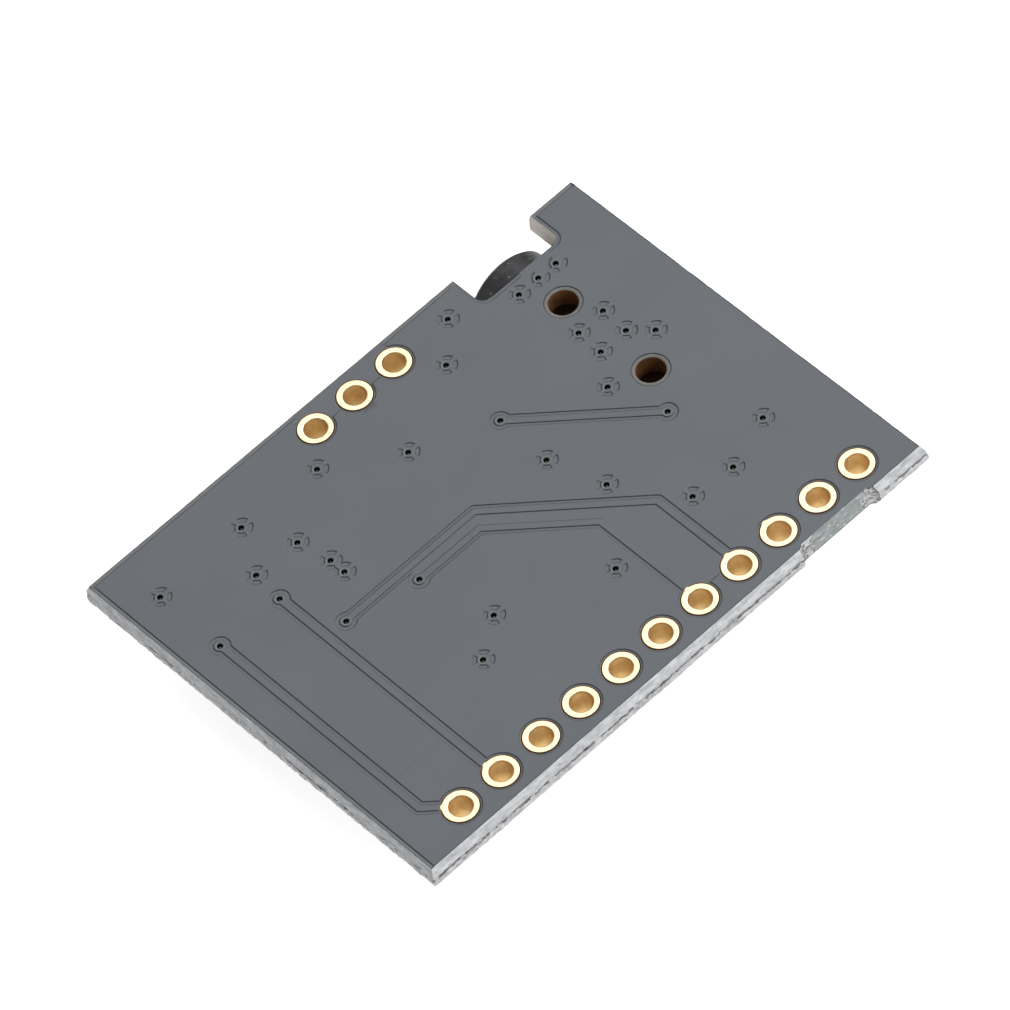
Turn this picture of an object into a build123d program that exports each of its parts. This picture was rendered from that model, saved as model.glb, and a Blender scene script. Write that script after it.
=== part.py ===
"""Stereo audio converter board with a 3.5 mm jack, eleven header holes and three output holes.

Frame, in mm: the origin is the centre of the sixth header hole on the bare back face. +X runs along the
header row, +Y across the board to the jack edge, +Z out of the back face. Every component hangs below it.
"""
import os
from math import cos, hypot, pi, sin

from build123d import *

# Laminate: back-face outline, finished thickness and the scored, snapped edges
BOARD_LEFT = -15.93
BOARD_RIGHT = 15.32
BOARD_FRONT = -1.51
BOARD_REAR = 22.20
BOARD_THICKNESS = 1.40
SCORE_DEPTH = 0.425
WEB_REACH_FRONT = 0.35
WEB_REACH_SIDE = 0.25
REAR_SCORE_DEPTH = 0.45
REAR_SCORE_REACH = 0.20
REAR_WEB_DEPTH = 1.25
REAR_WEB_REACH = 0.32
REAR_FOOT_REACH = 0.27
CUT_MARGIN = 1.0

# Routed notch for the jack nose, and the trace of the next board's notch in the front edge
NOTCH_LEFT = 7.56
NOTCH_RIGHT = 12.67
NOTCH_WALL = 20.11
NOTCH_CORNER_RADIUS = 0.50
RECESS_LEFT = 7.46
RECESS_RIGHT = 12.36
RECESS_WALL = -1.34
RECESS_CORNER_RADIUS = 0.40
ROUTER_OVERRUN = 3.0

# Plated holes: 0.1 inch pitch, pad outlines with a fixed number of sides
HOLE_PITCH = 2.54
HEADER_HOLES = 11
OUTPUT_HOLES = 3
OUTPUT_ROW_Y = 20.83
OUTPUT_ROW_MIDDLE = -0.12
PAD_RADIUS = 0.875
PAD_SIDES = 24
HOLE_RADIUS = 0.565

# Vias, drilled through with the mask drawn over their lands
VIA_RADIUS = 0.15
VIA_SIDES = 8
GROUND_VIAS = [
    (-14.08, 19.19), (-8.88, 19.24), (-4.23, 19.01), (-10.25, 16.69), (-7.70, 16.60), (-7.36, 14.66),
    (-7.37, 13.69), (-0.71, 16.45), (3.94, 18.81), (5.84, 20.73), (9.06, 19.20), (10.35, 19.22),
    (11.50, 19.22), (9.37, 15.39), (11.03, 15.46), (9.30, 13.79), (10.95, 13.79), (11.89, 12.74),
    (8.09, 12.05), (3.28, 11.17), (4.17, 8.00), (-4.43, 6.59), (-6.47, 5.14), (1.14, 4.21),
    (6.34, 4.45), (8.76, 4.23), (11.65, 5.21),
]
SIGNAL_VIAS = [
    (-14.07, 15.00), (-10.42, 14.86), (-9.21, 11.56), (-5.33, 10.71), (3.42, 14.49), (8.97, 8.87),
]

# Copper relief under the mask: everything without copper lies lower by its thickness
COPPER_RELIEF = 0.035
TRACE_HALF_WIDTH = 0.14
TRACE_CLEARANCE = 0.245
SIGNAL_VIA_LAND = 0.30
SIGNAL_VIA_CLEARANCE = 0.56
PAD_CLEARANCE_RADIUS = 1.03
PAD_CLEARANCE_SIDES = 16
LAND_SIDES = 12
TRACES = [
    [(-14.05, 15.00), (-14.05, 1.35), (-12.70, 0.00)],
    [(-10.43, 14.86), (-10.43, 0.00)],
    [(-9.21, 11.585), (-0.975, 11.585), (5.10, 5.51), (5.10, 0.00)],
    [(-5.33, 10.695), (-1.49, 10.695), (2.53, 6.68), (2.53, 0.00)],
    [(3.42, 14.46), (8.97, 8.87)],
]
BARE_STRIP = [
    (-5.33, 10.695), (-1.49, 10.695), (2.53, 6.68), (2.53, 0.00), (5.10, 0.00), (5.10, 5.51),
    (-0.975, 11.585), (-5.33, 11.585),
]
POUR_EDGE_LEFT = -15.79
POUR_EDGE_REAR = 22.01
POUR_GAP_LEFT = -3.10
POUR_GAP_RIGHT = 2.90
POUR_GAP_FRONT = 20.65
POUR_EDGE_NOTCH_RIGHT = 12.95
POUR_EDGE_NOTCH_WALL = 19.90
SPOKE_HALF_WIDTH = 0.45
SPOKE_REACH = 1.24

# Jack: square body seated under the board, round nose in the notch, two pegs in unplated holes
JACK_AXIS_X = 10.15
JACK_AXIS_Z = -3.40
JACK_NOSE_RADIUS = 2.50
JACK_NOSE_FRONT = 21.90
JACK_NOSE_CHAMFER = 0.15
JACK_BORE_RADIUS = 1.80
JACK_BORE_DEPTH = 11.00
JACK_WIDTH = 6.00
JACK_HEIGHT = 4.60
JACK_REAR = 8.11
JACK_CORNER = 0.30
SHOULDER_CLEARANCE = 0.10
PEG_ROWS = [17.26, 11.23]
PEG_HOLE_RADIUS = 0.75
PEG_CLEARANCE = 0.10
PEG_HEIGHT = 0.35
PEG_ROOT = 0.20

# Jack contacts: a foot on the board and a blade pressed into a slot beside the bore
CONTACT_THICKNESS = 0.25
CONTACT_WIDTH = 1.00
CONTACT_OFFSET = 2.15
CONTACT_FOOT_REACH = 1.20
CONTACT_BLADE_END = -5.00
CONTACTS = {
    "jack_sleeve_contact": (-1, 18.60),
    "jack_ring_contact": (-1, 10.20),
    "jack_tip_contact": (1, 14.40),
    "jack_switch_contact": (1, 10.20),
}

# Solder film between the board and every terminal
SOLDER_THICKNESS = 0.05
SOLDER_MARGIN = 0.12

# Moulded converter chip with sixteen gull-wing leads
CHIP_X = 0.20
CHIP_Y = 8.00
CHIP_LENGTH = 5.20
CHIP_WIDTH = 4.40
CHIP_HEIGHT = 1.30
CHIP_STANDOFF = 0.15
CHIP_BEVEL = 0.20
CHIP_LEADS_PER_SIDE = 8
CHIP_LEAD_PITCH = 0.65
CHIP_LEAD_WIDTH = 0.25
CHIP_LEAD_SPAN = 6.40

# Moulded voltage regulator with five gull-wing leads
REGULATOR_X = -12.40
REGULATOR_Y = 12.20
REGULATOR_LENGTH = 2.90
REGULATOR_WIDTH = 1.60
REGULATOR_HEIGHT = 1.10
REGULATOR_BEVEL = 0.12
REGULATOR_LEAD_PITCH = 0.95
REGULATOR_LEAD_WIDTH = 0.40
REGULATOR_LEAD_SPAN = 2.80

LEAD_THICKNESS = 0.15
LEAD_FOOT_LENGTH = 0.50

# Moulded capacitors with terminal strips folded under their ends
MOULDED_LENGTH = 3.00
MOULDED_WIDTH = 1.60
MOULDED_HEIGHT = 1.50
MOULDED_BEVEL = 0.15
STRIP_THICKNESS = 0.10
STRIP_WIDTH = 1.20
STRIP_FOLD = 0.80
STRIP_RISE = 0.90
OUTPUT_CAPACITORS = [(-2.70, 16.30), (1.60, 16.50)]
SUPPLY_CAPACITOR = (-12.00, 17.90)

# Chip passives: centre and whether the long side runs along X
PASSIVE_LENGTH = 1.60
PASSIVE_WIDTH = 0.80
CAP_LENGTH = 0.30
CERAMIC_HEIGHT = 0.80
RESISTOR_HEIGHT = 0.35
GLAZE_THICKNESS = 0.08
GLAZE_MARGIN = 0.05
CERAMICS = [
    (-12.40, 8.60, True), (-6.20, 18.00, True), (-5.60, 14.20, False), (-4.50, 8.40, False),
    (4.90, 10.20, False), (3.90, 5.60, False), (-0.40, 13.20, True),
]
RESISTORS = [
    (-7.60, 8.20, False), (-6.20, 8.20, False), (-8.90, 5.00, False), (-3.20, 3.00, True),
    (-0.90, 3.00, True), (5.00, 17.20, False), (8.00, 6.30, True), (13.60, 6.00, False),
]
BEADS = [(-12.60, 5.20, True), (10.30, 3.00, True)]

COMPONENT_FACE = -BOARD_THICKNESS
SOLDER_FACE = COMPONENT_FACE - SOLDER_THICKNESS


def block(x0, x1, y0, y1, z0, z1):
    """Rectangular solid between six planes."""
    centre = Pos((x0 + x1) / 2, (y0 + y1) / 2, (z0 + z1) / 2)
    return centre * Box(abs(x1 - x0), abs(y1 - y0), abs(z1 - z0))


def prism(points, z0, z1):
    """Upright solid over a closed outline."""
    face = make_face(Polyline(*points, close=True))
    return extrude(Pos(0, 0, z0) * face, z1 - z0, dir=(0, 0, 1))


def ring_points(x, y, radius, sides):
    """Corners of a regular outline, one side square to X."""
    angles = [2 * pi * (i + 0.5) / sides for i in range(sides)]
    return [(x + radius * cos(a), y + radius * sin(a)) for a in angles]


def upright_rod(x, y, radius, z0, z1):
    """Cylinder along Z."""
    return Pos(x, y, (z0 + z1) / 2) * Cylinder(radius, z1 - z0)


def strip(points, half_width):
    """Flat outline of constant width along a bent line, mitred at each bend."""
    left, right = [], []
    last = len(points) - 1
    for i, (x, y) in enumerate(points):
        before = points[max(i - 1, 0)]
        after = points[min(i + 1, last)]
        normals = []
        for start, end in ((before, (x, y)), ((x, y), after)):
            length = hypot(end[0] - start[0], end[1] - start[1])
            if length > 0:
                normals.append(((start[1] - end[1]) / length, (end[0] - start[0]) / length))
        nx = sum(n[0] for n in normals) / len(normals)
        ny = sum(n[1] for n in normals) / len(normals)
        reach = half_width / (nx * nx + ny * ny)
        left.append((x + nx * reach, y + ny * reach))
        right.append((x - nx * reach, y - ny * reach))
    return left + right[::-1]


def header_centres():
    """Centres of the eleven header holes."""
    half = (HEADER_HOLES - 1) / 2
    return [((i - half) * HOLE_PITCH, 0.0) for i in range(HEADER_HOLES)]


def output_centres():
    """Centres of the three output holes."""
    half = (OUTPUT_HOLES - 1) / 2
    return [(OUTPUT_ROW_MIDDLE + (i - half) * HOLE_PITCH, OUTPUT_ROW_Y) for i in range(OUTPUT_HOLES)]


def scored_blank():
    """Laminate with three edges scored on both faces, the rear one on its back face, and all snapped."""
    web_top = -SCORE_DEPTH
    web_bottom = COMPONENT_FACE + SCORE_DEPTH
    across = [
        (BOARD_LEFT, 0), (BOARD_LEFT - WEB_REACH_SIDE, web_top), (BOARD_LEFT - WEB_REACH_SIDE, web_bottom),
        (BOARD_LEFT, COMPONENT_FACE), (BOARD_RIGHT, COMPONENT_FACE),
        (BOARD_RIGHT + WEB_REACH_SIDE, web_bottom), (BOARD_RIGHT + WEB_REACH_SIDE, web_top), (BOARD_RIGHT, 0),
    ]
    along = [
        (BOARD_FRONT, 0), (BOARD_FRONT - WEB_REACH_FRONT, web_top),
        (BOARD_FRONT - WEB_REACH_FRONT, web_bottom), (BOARD_FRONT, COMPONENT_FACE),
        (BOARD_REAR + REAR_FOOT_REACH, COMPONENT_FACE),
        (BOARD_REAR + REAR_WEB_REACH, -REAR_WEB_DEPTH), (BOARD_REAR + REAR_SCORE_REACH, -REAR_SCORE_DEPTH),
        (BOARD_REAR, 0),
    ]
    face_x = make_face(Polyline(*[(x, 0, z) for x, z in across], close=True))
    face_y = make_face(Polyline(*[(0, y, z) for y, z in along], close=True))
    slab_x = extrude(face_x, BOARD_REAR + ROUTER_OVERRUN, dir=(0, 1, 0), both=True)
    slab_y = extrude(face_y, BOARD_RIGHT + ROUTER_OVERRUN, dir=(1, 0, 0), both=True)
    return slab_x & slab_y


def routed_slot(x0, x1, wall, toward, radius):
    """Router path that enters from one edge and ends at a wall with rounded corners."""
    low, high = COMPONENT_FACE - CUT_MARGIN, CUT_MARGIN
    slot = block(x0, x1, wall, wall + toward * ROUTER_OVERRUN, low, high)
    uprights = slot.edges().filter_by(Axis.Z).sort_by(Axis.Y)
    inner = uprights[:2] if toward > 0 else uprights[-2:]
    return fillet(inner, radius)


def bare_areas():
    """Regions of the back face without copper: gaps around traces and pads, and the pulled-back edges."""
    low = []
    for path in TRACES:
        low.append(strip(path, TRACE_HALF_WIDTH + TRACE_CLEARANCE))
    low.append(BARE_STRIP)
    for x, y in SIGNAL_VIAS:
        low.append(ring_points(x, y, SIGNAL_VIA_CLEARANCE, LAND_SIDES))
    for x, y in header_centres() + output_centres():
        low.append(ring_points(x, y, PAD_CLEARANCE_RADIUS, PAD_CLEARANCE_SIDES))
    left, right = BOARD_LEFT - CUT_MARGIN, BOARD_RIGHT + CUT_MARGIN
    front, rear = BOARD_FRONT - CUT_MARGIN, BOARD_REAR + CUT_MARGIN
    low.append([(left, front), (POUR_EDGE_LEFT, front), (POUR_EDGE_LEFT, rear), (left, rear)])
    low.append([(left, POUR_EDGE_REAR), (right, POUR_EDGE_REAR), (right, rear), (left, rear)])
    low.append([
        (POUR_GAP_LEFT, POUR_GAP_FRONT), (POUR_GAP_RIGHT, POUR_GAP_FRONT),
        (POUR_GAP_RIGHT, rear), (POUR_GAP_LEFT, rear),
    ])
    low.append([
        (NOTCH_LEFT, POUR_EDGE_NOTCH_WALL), (POUR_EDGE_NOTCH_RIGHT, POUR_EDGE_NOTCH_WALL),
        (POUR_EDGE_NOTCH_RIGHT, rear), (NOTCH_LEFT, rear),
    ])
    return low


def copper_shapes():
    """Copper that stands inside the bare regions: traces, via lands and the middle output pad's spoke."""
    high = [strip(path, TRACE_HALF_WIDTH) for path in TRACES]
    high += [ring_points(x, y, SIGNAL_VIA_LAND, LAND_SIDES) for x, y in SIGNAL_VIAS]
    near, far = OUTPUT_ROW_MIDDLE - SPOKE_HALF_WIDTH, OUTPUT_ROW_MIDDLE + SPOKE_HALF_WIDTH
    start = OUTPUT_ROW_Y - SPOKE_REACH
    high.append([(near, start), (far, start), (far, OUTPUT_ROW_Y), (near, OUTPUT_ROW_Y)])
    return high


def flat(points):
    """Face in the back plane over a closed outline."""
    return make_face(Polyline(*points, close=True))


def circuit_board():
    """Scored laminate with notch, recess, drilled holes and the relief of its masked copper."""
    board = scored_blank()
    board -= routed_slot(NOTCH_LEFT, NOTCH_RIGHT, NOTCH_WALL, 1, NOTCH_CORNER_RADIUS)
    board -= routed_slot(RECESS_LEFT, RECESS_RIGHT, RECESS_WALL, -1, RECESS_CORNER_RADIUS)
    relief = flat(bare_areas()[0])
    for points in bare_areas()[1:]:
        relief += flat(points)
    for points in copper_shapes():
        relief -= flat(points)
    board -= extrude(Pos(0, 0, -COPPER_RELIEF) * relief, CUT_MARGIN, dir=(0, 0, 1))
    low, high = COMPONENT_FACE - CUT_MARGIN, CUT_MARGIN
    drills = []
    for x, y in header_centres() + output_centres():
        drills.append(prism(ring_points(x, y, PAD_RADIUS, PAD_SIDES), low, high))
    for x, y in GROUND_VIAS + SIGNAL_VIAS:
        drills.append(prism(ring_points(x, y, VIA_RADIUS, VIA_SIDES), low, high))
    for y in PEG_ROWS:
        drills.append(upright_rod(JACK_AXIS_X, y, PEG_HOLE_RADIUS, low, high))
    return board - drills


def plating(centres):
    """Plated barrels with their lands, each filling its drilling from face to face."""
    barrels = []
    for x, y in centres:
        blank = prism(ring_points(x, y, PAD_RADIUS, PAD_SIDES), COMPONENT_FACE, 0)
        barrels.append(blank - upright_rod(x, y, HOLE_RADIUS, COMPONENT_FACE - CUT_MARGIN, CUT_MARGIN))
    return barrels


def contact_outline(side):
    """Bent contact seen along Y: foot outside the body, blade down beside the bore."""
    inner = JACK_AXIS_X + side * CONTACT_OFFSET
    outer = inner + side * CONTACT_THICKNESS
    tip = JACK_AXIS_X + side * (JACK_WIDTH / 2 + CONTACT_FOOT_REACH)
    foot = SOLDER_FACE - CONTACT_THICKNESS
    return [
        (inner, SOLDER_FACE), (tip, SOLDER_FACE), (tip, foot),
        (outer, foot), (outer, CONTACT_BLADE_END), (inner, CONTACT_BLADE_END),
    ]


def jack_contact(side, y):
    """One spring contact with its soldered foot."""
    face = make_face(Polyline(*[(x, y - CONTACT_WIDTH / 2, z) for x, z in contact_outline(side)], close=True))
    return extrude(face, CONTACT_WIDTH, dir=(0, 1, 0))


def contact_slot(side, y):
    """Opening for one contact: a channel for its foot and a slot for its blade."""
    inner = JACK_AXIS_X + side * CONTACT_OFFSET
    outer = inner + side * CONTACT_THICKNESS
    beyond = JACK_AXIS_X + side * JACK_WIDTH
    front, rear = y - CONTACT_WIDTH / 2, y + CONTACT_WIDTH / 2
    low, high = COMPONENT_FACE - JACK_HEIGHT - CUT_MARGIN, COMPONENT_FACE + CUT_MARGIN
    blade = block(min(inner, outer), max(inner, outer), front, rear, low, high)
    foot_face = SOLDER_FACE - CONTACT_THICKNESS
    channel = block(min(inner, beyond), max(inner, beyond), front, rear, foot_face, high)
    return blade + channel


def jack_housing():
    """Moulded jack body with nose, bore, contact slots and locating pegs."""
    shoulder = NOTCH_WALL + SHOULDER_CLEARANCE
    left, right = JACK_AXIS_X - JACK_WIDTH / 2, JACK_AXIS_X + JACK_WIDTH / 2
    body = block(left, right, JACK_REAR, shoulder, COMPONENT_FACE - JACK_HEIGHT, COMPONENT_FACE)
    body = chamfer(body.edges().filter_by(Axis.Z), JACK_CORNER)
    along_y = Rot(-90, 0, 0)
    nose_length = JACK_NOSE_FRONT - shoulder
    nose_place = Pos(JACK_AXIS_X, shoulder + nose_length / 2, JACK_AXIS_Z)
    nose = nose_place * along_y * Cylinder(JACK_NOSE_RADIUS, nose_length)
    nose = chamfer(nose.edges().filter_by(GeomType.CIRCLE).sort_by(Axis.Y)[-1], JACK_NOSE_CHAMFER)
    bore_place = Pos(JACK_AXIS_X, JACK_NOSE_FRONT + (CUT_MARGIN - JACK_BORE_DEPTH) / 2, JACK_AXIS_Z)
    bore = bore_place * along_y * Cylinder(JACK_BORE_RADIUS, JACK_BORE_DEPTH + CUT_MARGIN)
    housing = body + nose
    for y in PEG_ROWS:
        root, tip = COMPONENT_FACE - PEG_ROOT, COMPONENT_FACE + PEG_HEIGHT
        housing += upright_rod(JACK_AXIS_X, y, PEG_HOLE_RADIUS - PEG_CLEARANCE, root, tip)
    housing -= bore
    for side, y in CONTACTS.values():
        housing -= contact_slot(side, y)
    return housing


def moulded_body(x, y, x_length, y_length, height, standoff, bevel):
    """Moulded block with its outward face bevelled."""
    top = COMPONENT_FACE - standoff
    body = block(x - x_length / 2, x + x_length / 2, y - y_length / 2, y + y_length / 2, top - height, top)
    return chamfer(body.faces().sort_by(Axis.Z)[0].edges(), bevel)


def gull_wing(start, reach, width, level):
    """Lead at the origin of its own side: out of the body along +X, down to the board, flat on the solder."""
    half = LEAD_THICKNESS / 2
    knee = start + (reach - start - LEAD_FOOT_LENGTH) / 2
    heel = reach - LEAD_FOOT_LENGTH
    points = [
        (start, level + half), (knee, level + half), (heel, SOLDER_FACE), (reach, SOLDER_FACE),
        (reach, SOLDER_FACE - LEAD_THICKNESS), (heel + half, SOLDER_FACE - LEAD_THICKNESS),
        (knee + half, level - half), (start, level - half),
    ]
    face = make_face(Polyline(*[(x, -width / 2, z) for x, z in points], close=True))
    return extrude(face, width, dir=(0, 1, 0))


def lead_places(count, pitch):
    """Positions of a row of leads about the middle of a side."""
    return [(i - (count - 1) / 2) * pitch for i in range(count)]


def converter_rows():
    """Position and heading of every converter lead."""
    places = []
    for offset in lead_places(CHIP_LEADS_PER_SIDE, CHIP_LEAD_PITCH):
        places.append((CHIP_X + offset, CHIP_Y, 90))
        places.append((CHIP_X + offset, CHIP_Y, -90))
    return places


def regulator_rows():
    """Position and heading of every regulator lead: three on one side, the outer two on the other."""
    places = [(REGULATOR_X, REGULATOR_Y + offset, 0) for offset in lead_places(3, REGULATOR_LEAD_PITCH)]
    outer = lead_places(2, 2 * REGULATOR_LEAD_PITCH)
    places += [(REGULATOR_X, REGULATOR_Y + offset, 180) for offset in outer]
    return places


def leads(rows, body_half, span_half, width, height, standoff):
    """All gull-wing leads of one package."""
    level = COMPONENT_FACE - standoff - height / 2
    wing = gull_wing(body_half, span_half, width, level)
    return [Pos(x, y, 0) * Rot(0, 0, heading) * wing for x, y, heading in rows]


def folded_strips(x, y, along_x):
    """Two terminal strips of a moulded capacitor, up each end and folded under it."""
    body_half = MOULDED_LENGTH / 2
    outer = body_half + STRIP_THICKNESS
    points = [
        (outer, SOLDER_FACE), (body_half - STRIP_FOLD, SOLDER_FACE),
        (body_half - STRIP_FOLD, SOLDER_FACE - STRIP_THICKNESS), (body_half, SOLDER_FACE - STRIP_THICKNESS),
        (body_half, SOLDER_FACE - STRIP_RISE), (outer, SOLDER_FACE - STRIP_RISE),
    ]
    face = make_face(Polyline(*[(px, -STRIP_WIDTH / 2, pz) for px, pz in points], close=True))
    one = extrude(face, STRIP_WIDTH, dir=(0, 1, 0))
    heading = 0 if along_x else 90
    return [Pos(x, y, 0) * Rot(0, 0, heading + turn) * one for turn in (0, 180)]


def moulded_capacitor(x, y, along_x):
    """Moulded capacitor body resting on its folded strips."""
    x_length = MOULDED_LENGTH if along_x else MOULDED_WIDTH
    y_length = MOULDED_WIDTH if along_x else MOULDED_LENGTH
    standoff = SOLDER_THICKNESS + STRIP_THICKNESS
    return moulded_body(x, y, x_length, y_length, MOULDED_HEIGHT, standoff, MOULDED_BEVEL)


def oriented_block(x, y, along_x, near, far, half_width, z0, z1):
    """Block between two distances along a passive's long axis."""
    if along_x:
        return block(x + near, x + far, y - half_width, y + half_width, z0, z1)
    return block(x - half_width, x + half_width, y + near, y + far, z0, z1)


def passive_cores(places, height):
    """Bodies of chip passives between their end caps."""
    half = PASSIVE_LENGTH / 2 - CAP_LENGTH
    low = SOLDER_FACE - height
    return [oriented_block(x, y, a, -half, half, PASSIVE_WIDTH / 2, low, SOLDER_FACE) for x, y, a in places]


def passive_caps(places, height):
    """End caps of chip passives."""
    outer = PASSIVE_LENGTH / 2
    inner = outer - CAP_LENGTH
    low = SOLDER_FACE - height
    caps = []
    for x, y, along_x in places:
        for near, far in ((-outer, -inner), (inner, outer)):
            caps.append(oriented_block(x, y, along_x, near, far, PASSIVE_WIDTH / 2, low, SOLDER_FACE))
    return caps


def resistor_glazes():
    """Dark glaze over the outward face of each resistor."""
    half = PASSIVE_LENGTH / 2 - CAP_LENGTH
    top = SOLDER_FACE - RESISTOR_HEIGHT
    width = PASSIVE_WIDTH / 2 - GLAZE_MARGIN
    return [oriented_block(x, y, a, -half, half, width, top - GLAZE_THICKNESS, top) for x, y, a in RESISTORS]


def solder_pad(x0, x1, y0, y1):
    """Solder film under one terminal."""
    return block(x0, x1, y0, y1, SOLDER_FACE, COMPONENT_FACE)


def solder_joints():
    """Solder film under every lead, strip, cap and contact foot."""
    joints = []
    chip_inner = CHIP_LEAD_SPAN / 2 - LEAD_FOOT_LENGTH
    chip_outer = CHIP_LEAD_SPAN / 2 + SOLDER_MARGIN
    for x, y, heading in converter_rows():
        toward = 1 if heading > 0 else -1
        near, far = sorted((y + toward * chip_inner, y + toward * chip_outer))
        joints.append(solder_pad(x - CHIP_LEAD_WIDTH / 2, x + CHIP_LEAD_WIDTH / 2, near, far))
    regulator_inner = REGULATOR_LEAD_SPAN / 2 - LEAD_FOOT_LENGTH
    regulator_outer = REGULATOR_LEAD_SPAN / 2 + SOLDER_MARGIN
    for x, y, heading in regulator_rows():
        toward = 1 if heading == 0 else -1
        near, far = sorted((x + toward * regulator_inner, x + toward * regulator_outer))
        joints.append(solder_pad(near, far, y - REGULATOR_LEAD_WIDTH / 2, y + REGULATOR_LEAD_WIDTH / 2))
    strip_inner = MOULDED_LENGTH / 2 - STRIP_FOLD
    strip_outer = MOULDED_LENGTH / 2 + STRIP_THICKNESS + SOLDER_MARGIN
    capacitors = [(x, y, False) for x, y in OUTPUT_CAPACITORS] + [SUPPLY_CAPACITOR + (True,)]
    spans = [(c, strip_inner, strip_outer, STRIP_WIDTH / 2) for c in capacitors]
    cap_inner = PASSIVE_LENGTH / 2 - CAP_LENGTH
    cap_outer = PASSIVE_LENGTH / 2 + SOLDER_MARGIN
    spans += [(c, cap_inner, cap_outer, PASSIVE_WIDTH / 2) for c in CERAMICS + RESISTORS + BEADS]
    for (x, y, along_x), inner, outer, half in spans:
        for near, far in ((-outer, -inner), (inner, outer)):
            joints.append(oriented_block(x, y, along_x, near, far, half, SOLDER_FACE, COMPONENT_FACE))
    for side, y in CONTACTS.values():
        inner = JACK_AXIS_X + side * JACK_WIDTH / 2
        outer = inner + side * (CONTACT_FOOT_REACH + SOLDER_MARGIN)
        near, far = sorted((inner, outer))
        joints.append(solder_pad(near, far, y - CONTACT_WIDTH / 2, y + CONTACT_WIDTH / 2))
    return joints


def save(name, shapes):
    """Write one node as a group of separate solids."""
    solids = []
    for shape in shapes:
        solids += shape.solids()
    for solid in solids:
        solid.label = name
    group = solids[0] if len(solids) == 1 else Compound(label=name, children=solids)
    export_step(group, f"parts/{name}.step")


def main():
    """Build and write every node."""
    os.makedirs("parts", exist_ok=True)
    save("circuit_board", [circuit_board()])
    save("header_row_plating", plating(header_centres()))
    save("output_row_plating", plating(output_centres()))
    save("jack_housing", [jack_housing()])
    for name, (side, y) in CONTACTS.items():
        save(name, [jack_contact(side, y)])
    save("converter_body", [
        moulded_body(CHIP_X, CHIP_Y, CHIP_LENGTH, CHIP_WIDTH, CHIP_HEIGHT, CHIP_STANDOFF, CHIP_BEVEL),
    ])
    save("converter_leads", leads(
        converter_rows(), CHIP_WIDTH / 2, CHIP_LEAD_SPAN / 2, CHIP_LEAD_WIDTH, CHIP_HEIGHT, CHIP_STANDOFF,
    ))
    save("regulator_body", [moulded_body(
        REGULATOR_X, REGULATOR_Y, REGULATOR_WIDTH, REGULATOR_LENGTH, REGULATOR_HEIGHT, CHIP_STANDOFF,
        REGULATOR_BEVEL,
    )])
    save("regulator_leads", leads(
        regulator_rows(), REGULATOR_WIDTH / 2, REGULATOR_LEAD_SPAN / 2, REGULATOR_LEAD_WIDTH,
        REGULATOR_HEIGHT, CHIP_STANDOFF,
    ))
    save("output_capacitor_bodies", [moulded_capacitor(x, y, False) for x, y in OUTPUT_CAPACITORS])
    strips = []
    for x, y in OUTPUT_CAPACITORS:
        strips += folded_strips(x, y, False)
    save("output_capacitor_terminals", strips)
    save("supply_capacitor_body", [moulded_capacitor(*SUPPLY_CAPACITOR, True)])
    save("supply_capacitor_terminals", folded_strips(*SUPPLY_CAPACITOR, True))
    save("ceramic_capacitor_bodies", passive_cores(CERAMICS, CERAMIC_HEIGHT))
    save("ceramic_capacitor_caps", passive_caps(CERAMICS, CERAMIC_HEIGHT))
    save("resistor_cores", passive_cores(RESISTORS, RESISTOR_HEIGHT))
    save("resistor_glazes", resistor_glazes())
    save("resistor_caps", passive_caps(RESISTORS, RESISTOR_HEIGHT))
    save("ferrite_bead_bodies", passive_cores(BEADS, CERAMIC_HEIGHT))
    save("ferrite_bead_caps", passive_caps(BEADS, CERAMIC_HEIGHT))
    save("solder_joints", solder_joints())


main()
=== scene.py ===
from math import cos, hypot, pi, radians, sin

import bpy
import numpy as np
from mathutils import Matrix, Vector
from mathutils.geometry import delaunay_2d_cdt


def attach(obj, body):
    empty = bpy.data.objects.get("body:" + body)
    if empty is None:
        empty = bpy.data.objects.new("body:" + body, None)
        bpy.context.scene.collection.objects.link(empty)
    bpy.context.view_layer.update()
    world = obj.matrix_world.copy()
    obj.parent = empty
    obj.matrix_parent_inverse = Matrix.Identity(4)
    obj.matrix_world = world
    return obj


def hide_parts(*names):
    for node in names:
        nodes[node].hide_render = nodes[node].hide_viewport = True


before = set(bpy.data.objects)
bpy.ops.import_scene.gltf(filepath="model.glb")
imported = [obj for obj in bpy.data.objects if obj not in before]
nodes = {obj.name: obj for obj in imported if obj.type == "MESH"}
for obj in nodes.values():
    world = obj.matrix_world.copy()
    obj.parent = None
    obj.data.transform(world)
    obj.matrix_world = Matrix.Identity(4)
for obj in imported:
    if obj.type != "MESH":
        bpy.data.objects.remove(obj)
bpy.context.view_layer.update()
MM = 0.001

# Lengths below are in mm, in the frame of the model.
LEFT, RIGHT, FRONT, REAR = -15.93, 15.32, -1.51, 22.20
THICK = 1.40
PITCH = 2.54
PAD_R, HOLE_R, VIA_R, PEG_R = 0.875, 0.565, 0.15, 0.75
HOLE_SIDES, PEG_SIDES, VIA_SIDES = 72, 64, 20
# Left, right, wall and corner radius of the notch, and of the recess that the next board's notch leaves.
NOTCH = (7.56, 12.67, 20.11, 0.50)
RECESS = (7.46, 12.36, -1.34, 0.40)
# Widths of the dark rim, painted shade along the cut edges that is partly also dark resin at the cut, and of
# the pale rear rim of the face.
RIM, PALE_RIM = 0.032, 0.065

# Rings around a plated hole: opening in the mask, groove, and the width of their steps.
BARE_R, GROOVE_R, MASK_STEP, GROOVE_STEP = 0.975, 0.925, 0.03, 0.01
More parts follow.
